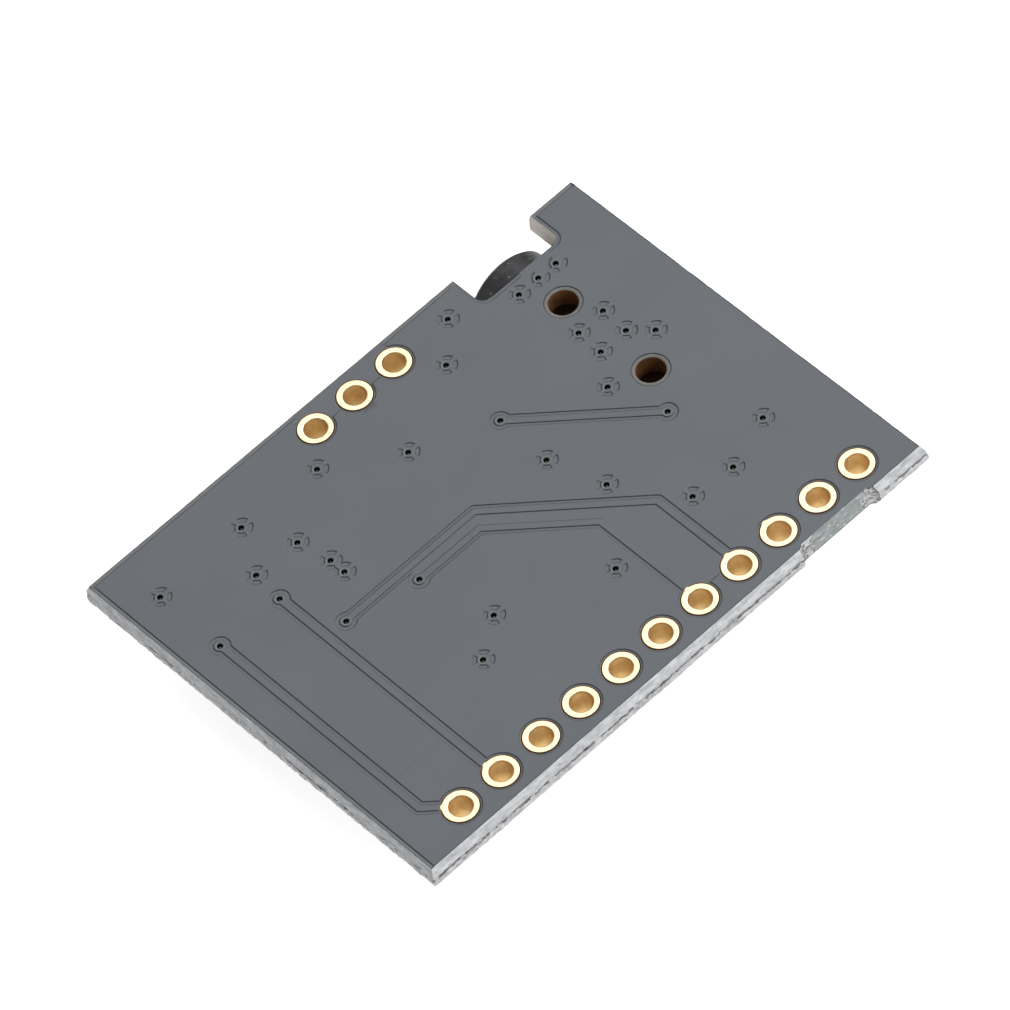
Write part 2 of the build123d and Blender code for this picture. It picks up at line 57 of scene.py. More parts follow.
# Rings around a peg hole: lip, pale ring, middle of the dark ring, its outside, and the width of their steps.
LIP_R, PALE_R, RING_R, RING_OUT_R, LIP_STEP = 0.895, 0.92, 0.942, 0.964, 0.025
# Raised land of a via, and the reach and length of the dip inside it.
VIA_LAND_R, VIA_DIP_R, VIA_DIP_STEP = 0.245, 0.24, 0.04
# Radii of the contour lines around a plated hole, a peg hole and a via.
PAD_LINES = (0.898, GROOVE_R - GROOVE_STEP, GROOVE_R + GROOVE_STEP, BARE_R, BARE_R + MASK_STEP)
PEG_LINES = (PEG_R + LIP_STEP, LIP_R, PALE_R, 0.941, RING_OUT_R, 0.99)
VIA_LINES = (0.165, 0.178, 0.19, VIA_LAND_R)
# Heights of the small steps in the mask.
SEAM_DEPTH, SEAM_END_DEPTH, VIA_DIP, GROOVE_DEPTH = 0.010, 0.008, 0.022, 0.035
LIP_RISE, LIP_DROP, RING_DEPTH = 0.014, 0.030, 0.022

# Copper under the mask: depth and width of its edges, and the room around each feature.
RELIEF, WALL = 0.044, 0.085
TRACE_R, TRACE_ROOM = 0.14, 0.385
LAND_R, LAND_ROOM = 0.26, 0.56
PAD_ROOM, PEG_ROOM = 1.06, 0.97
# Left and rear limits of the copper, and the left and right ends of the strip without it at the output row.
POUR_LEFT, POUR_REAR = -15.695, 21.93
OUTPUT_STRIP = (-3.1, 2.9)
# Thermal gaps of the ground vias: shift of their centre, inner and outer radius, half angle in degrees.
THERMAL_SHIFT = (0.035, -0.010)
THERMAL_IN, THERMAL_OUT, THERMAL_HALF = 0.275, 0.575, 33
# Those of the two vias at the notch: outer radius, middle in eighths of a turn, half angle in degrees.
NOTCH_GAPS = [(0.575, 7, 33), (0.460, 3, 58), (0.575, 5, 24)]
# Seams in the copper beside the header row, and the middle lines of their contour lines.
SEAM, SEAM_END = [(-13.66, 3.36), (-10.57, 3.36)], [(-10.04, 3.36), (-8.3, 3.36)]
SEAM_LINES = [(-13.64, 3.36), (-10.85, 3.36)], [(-9.95, 3.36), (-6.0, 3.36)]
# Boxes without copper, some running off the board, and boxes of copper within them:
# left, right, front, rear and corner radius.
OFF_LEFT, OFF_RIGHT, OFF_FRONT, OFF_REAR = -20, 20, -5, 26
LOW_BOXES = [
    (OFF_LEFT, POUR_LEFT, OFF_FRONT, OFF_REAR, 0.01), (OFF_LEFT, OFF_RIGHT, POUR_REAR, OFF_REAR, 0.01),
    (*OUTPUT_STRIP, 20.65, OFF_REAR, 0.05), (7.38, 12.90, 19.88, OFF_REAR, 0.70),
]
HIGH_BOXES = [(-0.57, 0.33, 19.2, 20.9, 0.01), (9.95, 11.85, 19.80, 20.6, 0.02)]

# Top of the walls of the wider holes, under the edge of the face.
HOLE_TOP = -RELIEF - 0.03
# Depth at which a drilled hole begins to lean and to narrow, and the length over which it does.
DRILL_FROM, DRILL_LENGTH = 0.3, 1.05
# Its lean at the far face, the direction of that lean, and how much it narrows.
DRILL_LEAN, LEAN_X, LEAN_Y, DRILL_TAPER = 0.120, 0.53, 0.85, 0.075
# Glint of light deep in a via: its centre from the via's axis, then radius and height of each ring.
GLINT_X, GLINT_Y = -0.012, -0.018
GLINT = [(0.058, -0.20), (0.052, -0.13), (0.036, -0.105), (0.016, -0.096), (0.002, -0.095)]

# The floor, in metres, and the strength of the light that it and the world give.
FLOOR_REACH, FLOOR_Z = 3.0, -0.00605
FLOOR_GLOW, WORLD_LIGHT = 0.80, 0.225

# Material slots of the board.
(MASK_SLOT, LAMINATE_SLOT, ROUTED_SLOT, CUT_SLOT, DRILLED_SLOT, VIA_SHADE_SLOT, RIM_SHADE_SLOT, BARE_SLOT, CREVICE_SHADE_SLOT,
 WEB_SLOT, LIP_SLOT, GROOVE_SHADE_SLOT, THIN_SLOT, SLOPE_SHADE_SLOT) = range(14)

# Centres of holes, and the middle lines of traces.
HEADER = [((i - 5) * PITCH, 0.0) for i in range(11)]
OUTPUT = [(-0.12 + (i - 1) * PITCH, 20.83) for i in range(3)]
PEGS = [(10.15, 17.26), (10.15, 11.23)]
GROUND = [
    (-14.08, 19.19), (-8.88, 19.24), (-4.23, 19.01), (-10.25, 16.69), (-7.70, 16.60), (-7.36, 14.66),
    (-7.37, 13.69), (-0.71, 16.45), (3.94, 18.81), (5.84, 20.73), (9.06, 19.20), (10.35, 19.22),
    (11.50, 19.22), (9.37, 15.39), (11.03, 15.46), (9.30, 13.79), (10.95, 13.79), (11.89, 12.74),
    (8.09, 12.05), (3.28, 11.17), (4.17, 8.00), (-4.43, 6.59), (-6.47, 5.14), (1.14, 4.21),
    (6.34, 4.45), (8.76, 4.23), (11.65, 5.21),
]
NOTCH_VIAS = [(10.35, 19.22), (11.50, 19.22)]
SIGNAL = [(-14.07, 15.00), (-10.42, 14.86), (-9.21, 11.56), (-5.33, 10.71), (3.42, 14.49), (8.97, 8.87)]
TRACES = [
    [(-14.05, 15.00), (-14.05, 1.35), (-12.70, 0.00)],
    [(-10.43, 14.86), (-10.43, 0.25)],
    [(-9.21, 11.585), (-0.975, 11.585), (5.10, 5.51), (5.10, 0.00)],
    [(-5.33, 10.695), (-1.49, 10.695), (2.53, 6.68), (2.53, 0.00)],
    [(3.42, 14.46), (8.97, 8.87)],
]
# The area between two traces, which has no copper: front line, ends of its contour lines, corners.
GAP_FRONT, GAP_ENDS = 0.30, (2.9, 4.7)
GAP = [
    (-5.33, 10.695), (-1.49, 10.695), (2.53, 6.68), (2.53, GAP_FRONT), (5.10, GAP_FRONT), (5.10, 5.51),
    (-0.975, 11.585), (-5.33, 11.585),
]


def smooth(t):
    """Smooth step of t clipped to 0..1."""
    t = np.clip(t, 0.0, 1.0)
    return t * t * (3 - 2 * t)


def lattice(i, j, seed):
    """Repeatable numbers 0..1 at whole lattice points."""
    s = np.sin(i * 127.1 + j * 311.7 + seed * 74.7) * 43758.5453
    return s - np.floor(s)


def value_noise(u, v, seed):
    """Smooth noise -1..1."""
    iu, iv = np.floor(u), np.floor(v)
    fu, fv = smooth(u - iu), smooth(v - iv)
    a, b = lattice(iu, iv, seed), lattice(iu + 1, iv, seed)
    c, d = lattice(iu, iv + 1, seed), lattice(iu + 1, iv + 1, seed)
    return 2 * ((a * (1 - fu) + b * fu) * (1 - fv) + (c * (1 - fu) + d * fu) * fv) - 1


def fractal(u, v, seed, octaves=3):
    """Sum of finer and finer noise."""
    total, scale = 0.0, 1.0
    for k in range(octaves):
        total = total + scale * value_noise(u * 2 ** k, v * 2 ** k, seed + k)
        scale *= 0.5
    return total / 1.75


def segment_distance(p, a, b):
    """Distance from points to one straight piece."""
    a, b = np.array(a, float), np.array(b, float)
    ab = b - a
    t = np.clip(((p - a) @ ab) / (ab @ ab), 0, 1)
    return np.hypot(*(p - a - t[:, None] * ab).T)


def path_distance(p, path):
    """Distance from points to a bent line."""
    return np.min([segment_distance(p, a, b) for a, b in zip(path[:-1], path[1:])], axis=0)


def sector_distance(p, centre, r0, r1, middle, half):
    """Signed distance to a piece of a ring between two radii."""
    out = np.full(len(p), 1.0)
    near = np.max(np.abs(p - np.array(centre)), axis=1) < r1 + 0.3
    d = p[near] - np.array(centre)
    r = np.hypot(d[:, 0], d[:, 1])
    angle = np.arctan2(d[:, 1], d[:, 0]) - middle
    angle = np.abs((angle + pi) % (2 * pi) - pi) - half
    side = np.where(angle < pi / 2, r * np.sin(angle), r)
    out[near] = np.maximum(np.abs(r - (r0 + r1) / 2) - (r1 - r0) / 2, side)
    return out


def box_distance(p, x0, x1, y0, y1, radius):
    """Signed distance to a box with round corners."""
    c = np.array([(x0 + x1) / 2, (y0 + y1) / 2])
    h = np.array([(x1 - x0) / 2 - radius, (y1 - y0) / 2 - radius])
    q = np.abs(p - c) - h
    return np.hypot(*np.maximum(q, 0).T) + np.minimum(q.max(axis=1), 0) - radius


def board_distance(p):
    """Signed distance to the straight outline of the back face, negative inside."""
    beyond = 5
    whole = box_distance(p, LEFT, RIGHT, FRONT, REAR, 0.01)
    notch = box_distance(p, NOTCH[0], NOTCH[1], NOTCH[2], REAR + beyond, NOTCH[3])
    recess = box_distance(p, RECESS[0], RECESS[1], FRONT - beyond, RECESS[2], RECESS[3])
    return np.maximum(whole, np.maximum(-notch, -recess))


def polygon_distance(p, corners):
    """Signed distance to a closed outline, negative inside."""
    inside = np.zeros(len(p), bool)
    best = np.full(len(p), 1e9)
    for a, b in zip(corners, corners[1:] + corners[:1]):
        best = np.minimum(best, segment_distance(p, a, b))
        if a[1] != b[1]:
            crosses = (a[1] > p[:, 1]) != (b[1] > p[:, 1])
            inside ^= crosses & (p[:, 0] < (b[0] - a[0]) * (p[:, 1] - a[1]) / (b[1] - a[1]) + a[0])
    return np.where(inside, -best, best)


def spread(points, step):
    """Points of a line no further apart than a step."""
    out = []
    for a, b in zip(points[:-1], points[1:]):
        n = max(1, int(np.ceil(hypot(b[0] - a[0], b[1] - a[1]) / step)))
        out += [(a[0] + (b[0] - a[0]) * k / n, a[1] + (b[1] - a[1]) * k / n) for k in range(n)]
    return out + [points[-1]]


def arc_points(x, y, r, a0, a1, step=0.06):
    """Points of an arc."""
    n = max(3, int(np.ceil(abs(a1 - a0) * max(r, 0.02) / step)))
    n = max(n, int(np.ceil(abs(a1 - a0) / 0.35)))
    return [(x + r * cos(a0 + (a1 - a0) * k / n), y + r * sin(a0 + (a1 - a0) * k / n)) for k in range(n + 1)]


def around_path(path, r):
    """Closed line at one distance from a bent line, round at its ends and outer bends."""
    loop = []
    for way in (path, path[::-1]):
        for i, (x, y) in enumerate(way[:-1]):
            nx, ny = way[i + 1]
            heading = np.arctan2(ny - y, nx - x)
            side = heading + pi / 2
            if i:
                turn = (heading - previous + pi) % (2 * pi) - pi
                if turn < 0:
                    loop += arc_points(x, y, r, previous + pi / 2, previous + pi / 2 + turn)
                else:
                    reach = r / cos(turn / 2)
                    loop.append((x + reach * cos(side - turn / 2), y + reach * sin(side - turn / 2)))
            else:
                loop.append((x + r * cos(side), y + r * sin(side)))
            previous = heading
        x, y = way[-1]
        loop += arc_points(x, y, r, previous + pi / 2, previous - pi / 2)
    return spread(loop + loop[:1], 0.3)


def around_sector(centre, r0, r1, middle, half, offset):
    """Closed line inside a piece of a ring."""
    x, y = centre
    outer = half + np.arcsin(offset / (r1 + offset))
    inner = half + np.arcsin(offset / (r0 - offset))
    loop = arc_points(x, y, r1 + offset, middle - outer, middle + outer, 0.05)
    loop += arc_points(x, y, r0 - offset, middle + inner, middle - inner, 0.05)
    return loop + loop[:1]


def around_box(x0, x1, y0, y1, radius, r):
    """Closed line at one distance outside a round-cornered box."""
    loop = []
    inset = max(-radius - r, 0.0)
    x0, x1, y0, y1 = x0 + inset, x1 - inset, y0 + inset, y1 - inset
    left, right, low, high = x0 + radius, x1 - radius, y0 + radius, y1 - radius
    for quarter, (cx, cy) in enumerate(((right, high), (left, high), (left, low), (right, low))):
        loop += arc_points(cx, cy, max(radius + r, 0.0), quarter * pi / 2, (quarter + 1) * pi / 2)
    return spread(loop + loop[:1], 0.4)


# Regions without copper and regions of copper within them: a distance function, and a line at an offset.
LOW, HIGH = [], []


def add_path(store, path, r):
    """Region within a distance of a bent line."""
    store.append((lambda p: path_distance(p, path) - r, lambda o: around_path(path, r + o)))


def add_circle(store, c, r):
    """Round region."""
    store.append((lambda p: np.hypot(p[:, 0] - c[0], p[:, 1] - c[1]) - r,
                  lambda o: arc_points(c[0], c[1], r + o, 0, 2 * pi)))


def add_box(store, x0, x1, y0, y1, radius):
    """Region of a round-cornered box."""
    store.append((lambda p: box_distance(p, x0, x1, y0, y1, radius),
                  lambda o: around_box(x0, x1, y0, y1, radius, o)))


def add_sector(store, c, r0, r1, middle, half):
    """Region of a piece of a ring."""
    store.append((lambda p: sector_distance(p, c, r0, r1, middle, half),
                  lambda o: around_sector(c, r0, r1, middle, half, o)))


for track in TRACES:
    add_path(LOW, track, TRACE_ROOM)
    add_path(HIGH, track, TRACE_R)
for spot in SIGNAL:
    add_circle(LOW, spot, LAND_ROOM)
    add_circle(HIGH, spot, LAND_R)
for spot in HEADER + OUTPUT:
    add_circle(LOW, spot, PAD_ROOM)
for spot in PEGS:
    add_circle(LOW, spot, PEG_ROOM)
for spot in GROUND:
    middle = (spot[0] + THERMAL_SHIFT[0], spot[1] + THERMAL_SHIFT[1])
    if spot in NOTCH_VIAS:
        for reach, eighths, half in NOTCH_GAPS:
            add_sector(LOW, middle, THERMAL_IN, reach, eighths * pi / 4, radians(half))
        continue
    for corner in range(4):
        add_sector(LOW, middle, THERMAL_IN, THERMAL_OUT, pi / 4 + corner * pi / 2, radians(THERMAL_HALF))
LOW.append((lambda p: polygon_distance(p, GAP),
            lambda o: spread([(x, GAP_FRONT - o) for x in GAP_ENDS], 0.3)))
for store, boxes in ((LOW, LOW_BOXES), (HIGH, HIGH_BOXES)):
    for box in boxes:
        add_box(store, *box)


def levels_of(p):
    """Distances of points to the areas without copper and to the copper within them."""
    return [np.min([distance(p) for distance, _ in store], axis=0) for store in (LOW, HIGH)]


def copper_height(p):
    """Height of the masked surface over points, 0 on copper."""
    low, high = levels_of(p)
    z = -RELIEF * np.minimum(smooth(-low / WALL), smooth(high / WALL))
    seam = path_distance(p, SEAM)
    end = path_distance(p, SEAM_END) + 0.012 * np.clip(p[:, 0] + 10.0, 0, 5)
    z = z - SEAM_DEPTH * (1 - smooth(seam / 0.06)) - SEAM_END_DEPTH * (1 - smooth(end / 0.05))
    for cx, cy in GROUND + SIGNAL:
        r = np.hypot(p[:, 0] - cx, p[:, 1] - cy)
        z = np.where(r < VIA_DIP_R, z - VIA_DIP * (1 - smooth((r - VIA_R) / VIA_DIP_STEP)), z)
    for cx, cy in HEADER + OUTPUT:
        r = np.hypot(p[:, 0] - cx, p[:, 1] - cy)
        open_mask = smooth((BARE_R + MASK_STEP - r) / MASK_STEP)
        z = z + open_mask * (-RELIEF - z) - GROOVE_DEPTH * smooth((GROOVE_R + GROOVE_STEP - r) / MASK_STEP)
    for cx, cy in PEGS:
        r = np.hypot(p[:, 0] - cx, p[:, 1] - cy)
        z = z + LIP_RISE * smooth((LIP_R + LIP_STEP - r) / LIP_STEP)
        z = z - LIP_DROP * smooth((PEG_R + LIP_STEP - r) / LIP_STEP)
        z = z - RING_DEPTH * (1 - smooth(np.abs(r - RING_R) / 0.035))
    return z


def copper_normal(p):
    """Unit normals of the masked surface, upright where it is nearly level."""
    step = 0.006
    gx = (copper_height(p + [step, 0]) - copper_height(p - [step, 0])) / (2 * step)
    gy = (copper_height(p + [0, step]) - copper_height(p - [0, step])) / (2 * step)
    real = smooth((np.hypot(gx, gy) - 0.06) / 0.10)
    n = np.stack([-gx * real, -gy * real, np.ones(len(p))], 1)
    return n / np.linalg.norm(n, axis=1)[:, None]


class Pieces:
    """Collects surfaces with their own normals and material slots into one mesh."""

    def __init__(self):
        self.co, self.no, self.faces, self.slots, self.count = [], [], [], [], 0

    def add(self, co, no, faces, slot):
        """Adds points, their normals and faces, with one slot or a list of them."""
        self.co.append(np.asarray(co, float))
        self.no.append(np.asarray(no, float))
        self.faces += [tuple(i + self.count for i in f) for f in faces]
        self.slots += slot if isinstance(slot, list) else [slot] * len(faces)
        self.count += len(co)

    def grid(self, rows, slot, closed=False, flip=False):
        """Surface through rows of points, its normals from its own shape."""
        g = np.asarray(rows, float)
        m, n = g.shape[:2]
        du = np.roll(g, -1, 1) - np.roll(g, 1, 1)
        if not closed:
            du[:, 0], du[:, -1] = g[:, 1] - g[:, 0], g[:, -1] - g[:, -2]
        dv = np.gradient(g, axis=0)
        normal = np.cross(du, dv)
        normal /= np.maximum(np.linalg.norm(normal, axis=2), 1e-12)[:, :, None]
        faces = []
        for i in range(m - 1):
            for j in range(n if closed else n - 1):
                k = (j + 1) % n
                quad = (i * n + j, i * n + k, (i + 1) * n + k, (i + 1) * n + j)
                faces.append(quad[::-1] if flip else quad)
        sign = -1 if flip else 1
        self.add(g.reshape(-1, 3), sign * normal.reshape(-1, 3), faces, slot)

    def build(self, name, materials, replaced, slot):
        """Makes the mesh and puts it in place of CAD nodes."""
        mesh = bpy.data.meshes.new(name)
        co = np.concatenate(self.co) * MM
        mesh.from_pydata(co.tolist(), [], self.faces)
        for material in materials:
            mesh.materials.append(material)
        mesh.polygons.foreach_set("material_index", self.slots)
        mesh.polygons.foreach_set("use_smooth", [True] * len(mesh.polygons))
        mesh.update()
        mesh.normals_split_custom_set_from_vertices(np.concatenate(self.no).tolist())
        piece = bpy.data.objects.new(name, mesh)
        bpy.context.scene.collection.objects.link(piece)
        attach(piece, "root")
        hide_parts(*replaced)


def recess_side(left, y):
    """One end of the recess from a front edge at y to the wall."""
    x0, x1, wall, r = RECESS
    count = 8
    cx, cy, side = (x0 + r, wall - r, -1) if left else (x1 - r, wall - r, 1)
    start = np.arcsin(np.clip((y - cy) / r, 0, 1))
    points = [(cx + side * r * cos(start), min(y, cy))] if y < cy else []
    arc = [(cx + side * r * cos(a), cy + r * sin(a)) for a in np.linspace(start, pi / 2, count - 1)]
    while len(points) + len(arc) < count:
        arc.insert(0, arc[0])
    return points + arc


# Points on the straight sides, finest on the two in view.
POINTS = {"front_a": 420, "front_b": 60, "right": 120, "rear_b": 36, "rear_a": 150, "left": 420}
# Points on the walls of recess and notch, on the cheeks and corners of the notch, and on the board's corner.
WALL_POINTS, CHEEK_POINTS, ARC_POINTS, CORNER_POINTS = 40, 20, 9, 8


def straight(a, b, n):
    """Points of a straight line."""
    return [(a[0] + (b[0] - a[0]) * t, a[1] + (b[1] - a[1]) * t) for t in np.linspace(0, 1, n)]


def level_sections(reach_front, reach_left, reach_right, reach_rear, corner):
    """Board outline at one height as named runs of points, counter-clockwise."""
    yf, xl, xr, yr = FRONT - reach_front, LEFT - reach_left, RIGHT + reach_right, REAR + reach_rear
    entry, leave = recess_side(True, yf), recess_side(False, yf)[::-1]
    x0, x1, wall, r = NOTCH
    arc_r = [(x1 - r + r * cos(a), wall + r - r * sin(a)) for a in np.linspace(0, pi / 2, ARC_POINTS)]
    arc_l = [(x0 + r - r * sin(a), wall + r - r * cos(a)) for a in np.linspace(0, pi / 2, ARC_POINTS)]
    corner_arc = [(xl + corner - corner * sin(a), yr - corner + corner * cos(a))
                  for a in np.linspace(0, pi / 2, CORNER_POINTS)]
    return {
        "front_a": straight((xl, yf), entry[0], POINTS["front_a"]),
        "recess": entry + straight(entry[-1], leave[0], WALL_POINTS)[1:-1] + leave,
        "front_b": straight(leave[-1], (xr, yf), POINTS["front_b"]),
        "right": straight((xr, yf), (xr, yr), POINTS["right"]),
        "rear_b": straight((xr, yr), (x1, yr), POINTS["rear_b"]),
        "notch": straight((x1, yr), arc_r[0], CHEEK_POINTS)[:-1] + arc_r
                 + straight(arc_r[-1], arc_l[0], WALL_POINTS)[1:-1] + arc_l
                 + straight(arc_l[-1], (x0, yr), CHEEK_POINTS)[1:],
        "rear_a": straight((x0, yr), (xl + corner, yr), POINTS["rear_a"]),
        "corner": corner_arc,
        "left": straight((xl, yr - corner), (xl, yf), POINTS["left"]),
    }


# How far the snapped web reaches out at the front, the left and the right.
WEB_FRONT, WEB_LEFT, WEB_RIGHT = 0.35, 0.25, 0.21
# Scored sides: outward direction, the reach that none may pass, and how torn the crack is.
SCORED = {"front_a": (0, -1), "front_b": (0, -1), "right": (1, 0), "rear_b": (0, 1), "rear_a": (0, 1),
          "left": (-1, 0), "corner": (-0.7, 0.7)}
WEB = {"front_a": WEB_FRONT, "front_b": WEB_FRONT, "right": 0.25, "rear_b": 0.32, "rear_a": 0.32,
       "left": WEB_LEFT, "corner": WEB_LEFT}
TORN = {"front_a": 0.45, "front_b": 0.3, "right": 0.3, "rear_b": 0.0, "rear_a": 0.0,
        "left": 0.22, "corner": -2.0}
# Levels from the back face down: height, part of the web's reach, reach at the rear, corner, roughness.
LEVELS = [
    (0.0, 0.0, 0.0, 0.03, 0.15), (-0.015, 0.03, 0.007, 0.05, 0.3), (-0.06, 0.13, 0.027, 0.09, 0.5),
    (-0.12, 0.27, 0.053, 0.14, 0.5), (-0.20, 0.46, 0.089, 0.20, 0.6), (-0.28, 0.65, 0.124, 0.25, 0.7),
    (-0.35, 0.80, 0.155, 0.29, 0.8), (-0.40, 0.88, 0.177, 0.32, 1.0), (-0.425, 0.86, 0.188, 0.34, 1.3),
    (-0.45, 0.68, 0.20, 0.35, 1.7), (-0.49, 0.62, 0.206, 0.36, 1.9), (-0.53, 0.74, 0.212, 0.36, 1.9),
    (-0.57, 0.90, 0.218, 0.36, 1.8), (-0.63, 0.95, 0.227, 0.36, 1.7), (-0.70, 0.96, 0.238, 0.36, 1.7),
    (-0.77, 0.96, 0.248, 0.36, 1.7), (-0.84, 0.95, 0.259, 0.36, 1.7), (-0.91, 0.92, 0.269, 0.36, 1.6),
    (-0.97, 0.82, 0.278, 0.34, 1.3), (-1.08, 0.60, 0.294, 0.26, 0.8), (-1.25, 0.28, 0.318, 0.16, 0.5),
    (-1.38, 0.02, 0.276, 0.05, 0.3), (-1.40, 0.0, 0.27, 0.03, 0.15),
]
# First and last of the levels at the crack.
CREVICE_TOP, CREVICE_FOOT = 8, 12
# Levels rougher than this belong to the snapped web.
WEB_ROUGH = 0.9
# Length over which the roughness of a side fades in from its ends.
FADE_IN = 0.25
# How far coarse and fine noise push a rough side out, and how far the snapped web is set back.
COARSE_PUSH, FINE_PUSH, WEB_SETBACK = 0.012, 0.042, 0.018
# Length of the left side, from the rear, over which its crack opens.
CRACK_OPENS = 4.0
# Part of the web's reach to which the crack is filled where it isn't torn.
CRACK_FILL = 0.93
# How far the recess crumbles.
CRUMBLE = 0.035
# Seeds of the noise in the recess, of the patches on it and of those in the crack.
CRUMBLE_SEED, RECESS_SEED, CRACK_SEED = 77, 89, 51


def recess_crumble(along):
    """How crumbly the recess is along its wall, 1 at its two ends."""
    near = np.minimum(along, along[-1] - along)
    return 0.25 + 0.75 * (1 - smooth((near - 0.5) / 0.7))


def patches(rows, kinds, seed, u=5.0, v=16.0):
    """Slots for the faces of a surface, each from the first kind whose share the noise passes."""
    slots = []
    for upper, lower in zip(rows[:-1], rows[1:]):
        middle = (upper[:-1] + upper[1:] + lower[:-1] + lower[1:]) / 4
        along = np.concatenate([[0], np.cumsum(np.hypot(*np.diff(middle[:, :2], axis=0).T))])
        noise = fractal(along * u, middle[:, 2] * v, seed, 2)
        slot = np.full(len(middle), kinds[-1][0])
        for kind, share in kinds[-2::-1]:
            slot[noise > (share(along) if callable(share) else share)] = kind
        slots += slot.tolist()
    return slots


def edge_surfaces():
    """Every side of the board as rows of points, the outline of its face, and where each crack is torn."""
    levels = []
    for z, f, rear, corner, rough in LEVELS:
        sections = level_sections(f * WEB_FRONT, f * WEB_LEFT, f * WEB_RIGHT, rear, corner)
        levels.append((z, f, rear, rough, sections))
    surfaces, outline, torn = {}, [], {}
    for name in levels[0][4]:
        rows = []
        for level, (z, f, rear, rough, sections) in enumerate(levels):
            q = np.array(sections[name], float)
            along = np.concatenate([[0], np.cumsum(np.hypot(*np.diff(q, axis=0).T))])
            zz = np.full(len(q), z)
            if name in SCORED:
                out = np.array(SCORED[name], float)
                seed = sorted(SCORED).index(name) * 11
                coarse = fractal(along * 1.9, np.full(len(q), z * 3.0), seed)
                fine = fractal(along * 5.5, np.full(len(q), z * 9.0), seed + 5, 4)
                ends = smooth(along / FADE_IN) * smooth((along[-1] - along) / FADE_IN)
                push = rough * (COARSE_PUSH * coarse + FINE_PUSH * fine) - WEB_SETBACK * (rough > WEB_ROUGH)
                spare = WEB[name] - (rear if name.startswith("rear") else f * WEB[name])
                room = spare if rough > WEB_ROUGH else 0.01
                push = np.minimum(push * (0.25 + 0.75 * ends), room)
                if CREVICE_TOP < level < CREVICE_FOOT:
                    depth = 0.5 + TORN[name] + 0.9 * fractal(along * 0.55, np.zeros(len(q)), seed + 20)
                    if name == "left":
                        depth = depth - 2.0 * (1 - smooth(along / CRACK_OPENS))
                    torn[name] = smooth(depth + 0.6 * fractal(along * 3.0, np.zeros(len(q)), seed + 21, 2))
                    if not name.startswith("rear"):
                        push = push + (1 - torn[name]) * max(0.0, CRACK_FILL - f) * WEB[name]
                q = q + push[:, None] * out
                if rough > WEB_ROUGH:
                    shift = 0.060 * fractal(along * 0.9, np.zeros(len(q)), seed + 9)
                    zz = zz + (shift + 0.022 * fractal(along * 5.0, np.full(len(q), z * 5), seed + 3)) * ends
            if name == "recess" and 0 < level < len(levels) - 1:
                grain = fractal(along * 7.0, np.full(len(q), z * 9.0), CRUMBLE_SEED)
                q = q + np.column_stack([np.zeros(len(q)), recess_crumble(along) * CRUMBLE * grain])
            rows.append(np.column_stack([q, zz]))
        surfaces[name] = rows
        outline.append(rows[0][:, :2])
    return surfaces, outline, torn


def holes():
    """Every hole through the back face: centre, radius, sides."""
    out = [(x, y, PAD_R, HOLE_SIDES) for x, y in HEADER + OUTPUT]
    out += [(x, y, PEG_R, PEG_SIDES) for x, y in PEGS]
    out += [(x, y, VIA_R, VIA_SIDES) for x, y in GROUND + SIGNAL]
    return out


def ring(x, y, r, n):
    """Corners of a closed ring."""
    return [(x + r * cos(2 * pi * k / n), y + r * sin(2 * pi * k / n)) for k in range(n)]


def triangulate(loop, contours, within):
    """Triangles over the outline, less its holes, with contour lines as edges."""
    verts, edges = [], []

    def chain(points, closed):
        first = len(verts)
        verts.extend(points)
        edges.extend((first + k, first + k + 1) for k in range(len(points) - 1))
        if closed:
            edges.append((len(verts) - 1, first))

    chain([tuple(q) for q in loop], True)
    for x, y, r, n in holes():
        chain(ring(x, y, r, n), True)
    for line in contours:
        chain(line, False)
    made = delaunay_2d_cdt([Vector(v) for v in verts], edges, [], 1, 1e-5, False)
    p = np.array([(v.x, v.y) for v in made[0]])
    t = np.array([f for f in made[2] if len(f) == 3])
    centre = p[t].mean(axis=1)
    keep = within(centre)
    for x, y, r, n in holes():
        keep &= np.hypot(centre[:, 0] - x, centre[:, 1] - y) > r * cos(pi / n) - 1e-6
    t = t[keep]
    a, b, c = p[t[:, 0]], p[t[:, 1]], p[t[:, 2]]
    area = np.cross(b - a, c - a)
    t = t[np.abs(area) > 1e-10]
    area = area[np.abs(area) > 1e-10]
    t[area < 0] = t[area < 0][:, ::-1]
    used, index = np.unique(t, return_inverse=True)
    return p[used], index.reshape(-1, 3)


def shown_runs(q, good, blocked):
    """Runs of a line whose pieces have a good end and no blocked one."""
    good = good & ~blocked
    edge = (good[:-1] | good[1:]) & ~(blocked[:-1] | blocked[1:])
    runs, run = [], []
    for k in range(len(q) - 1):
        if edge[k]:
            run = run or [tuple(q[k])]
            run.append(tuple(q[k + 1]))
        elif run:
            runs.append(run)
            run = []
    return runs + [run] if run else runs


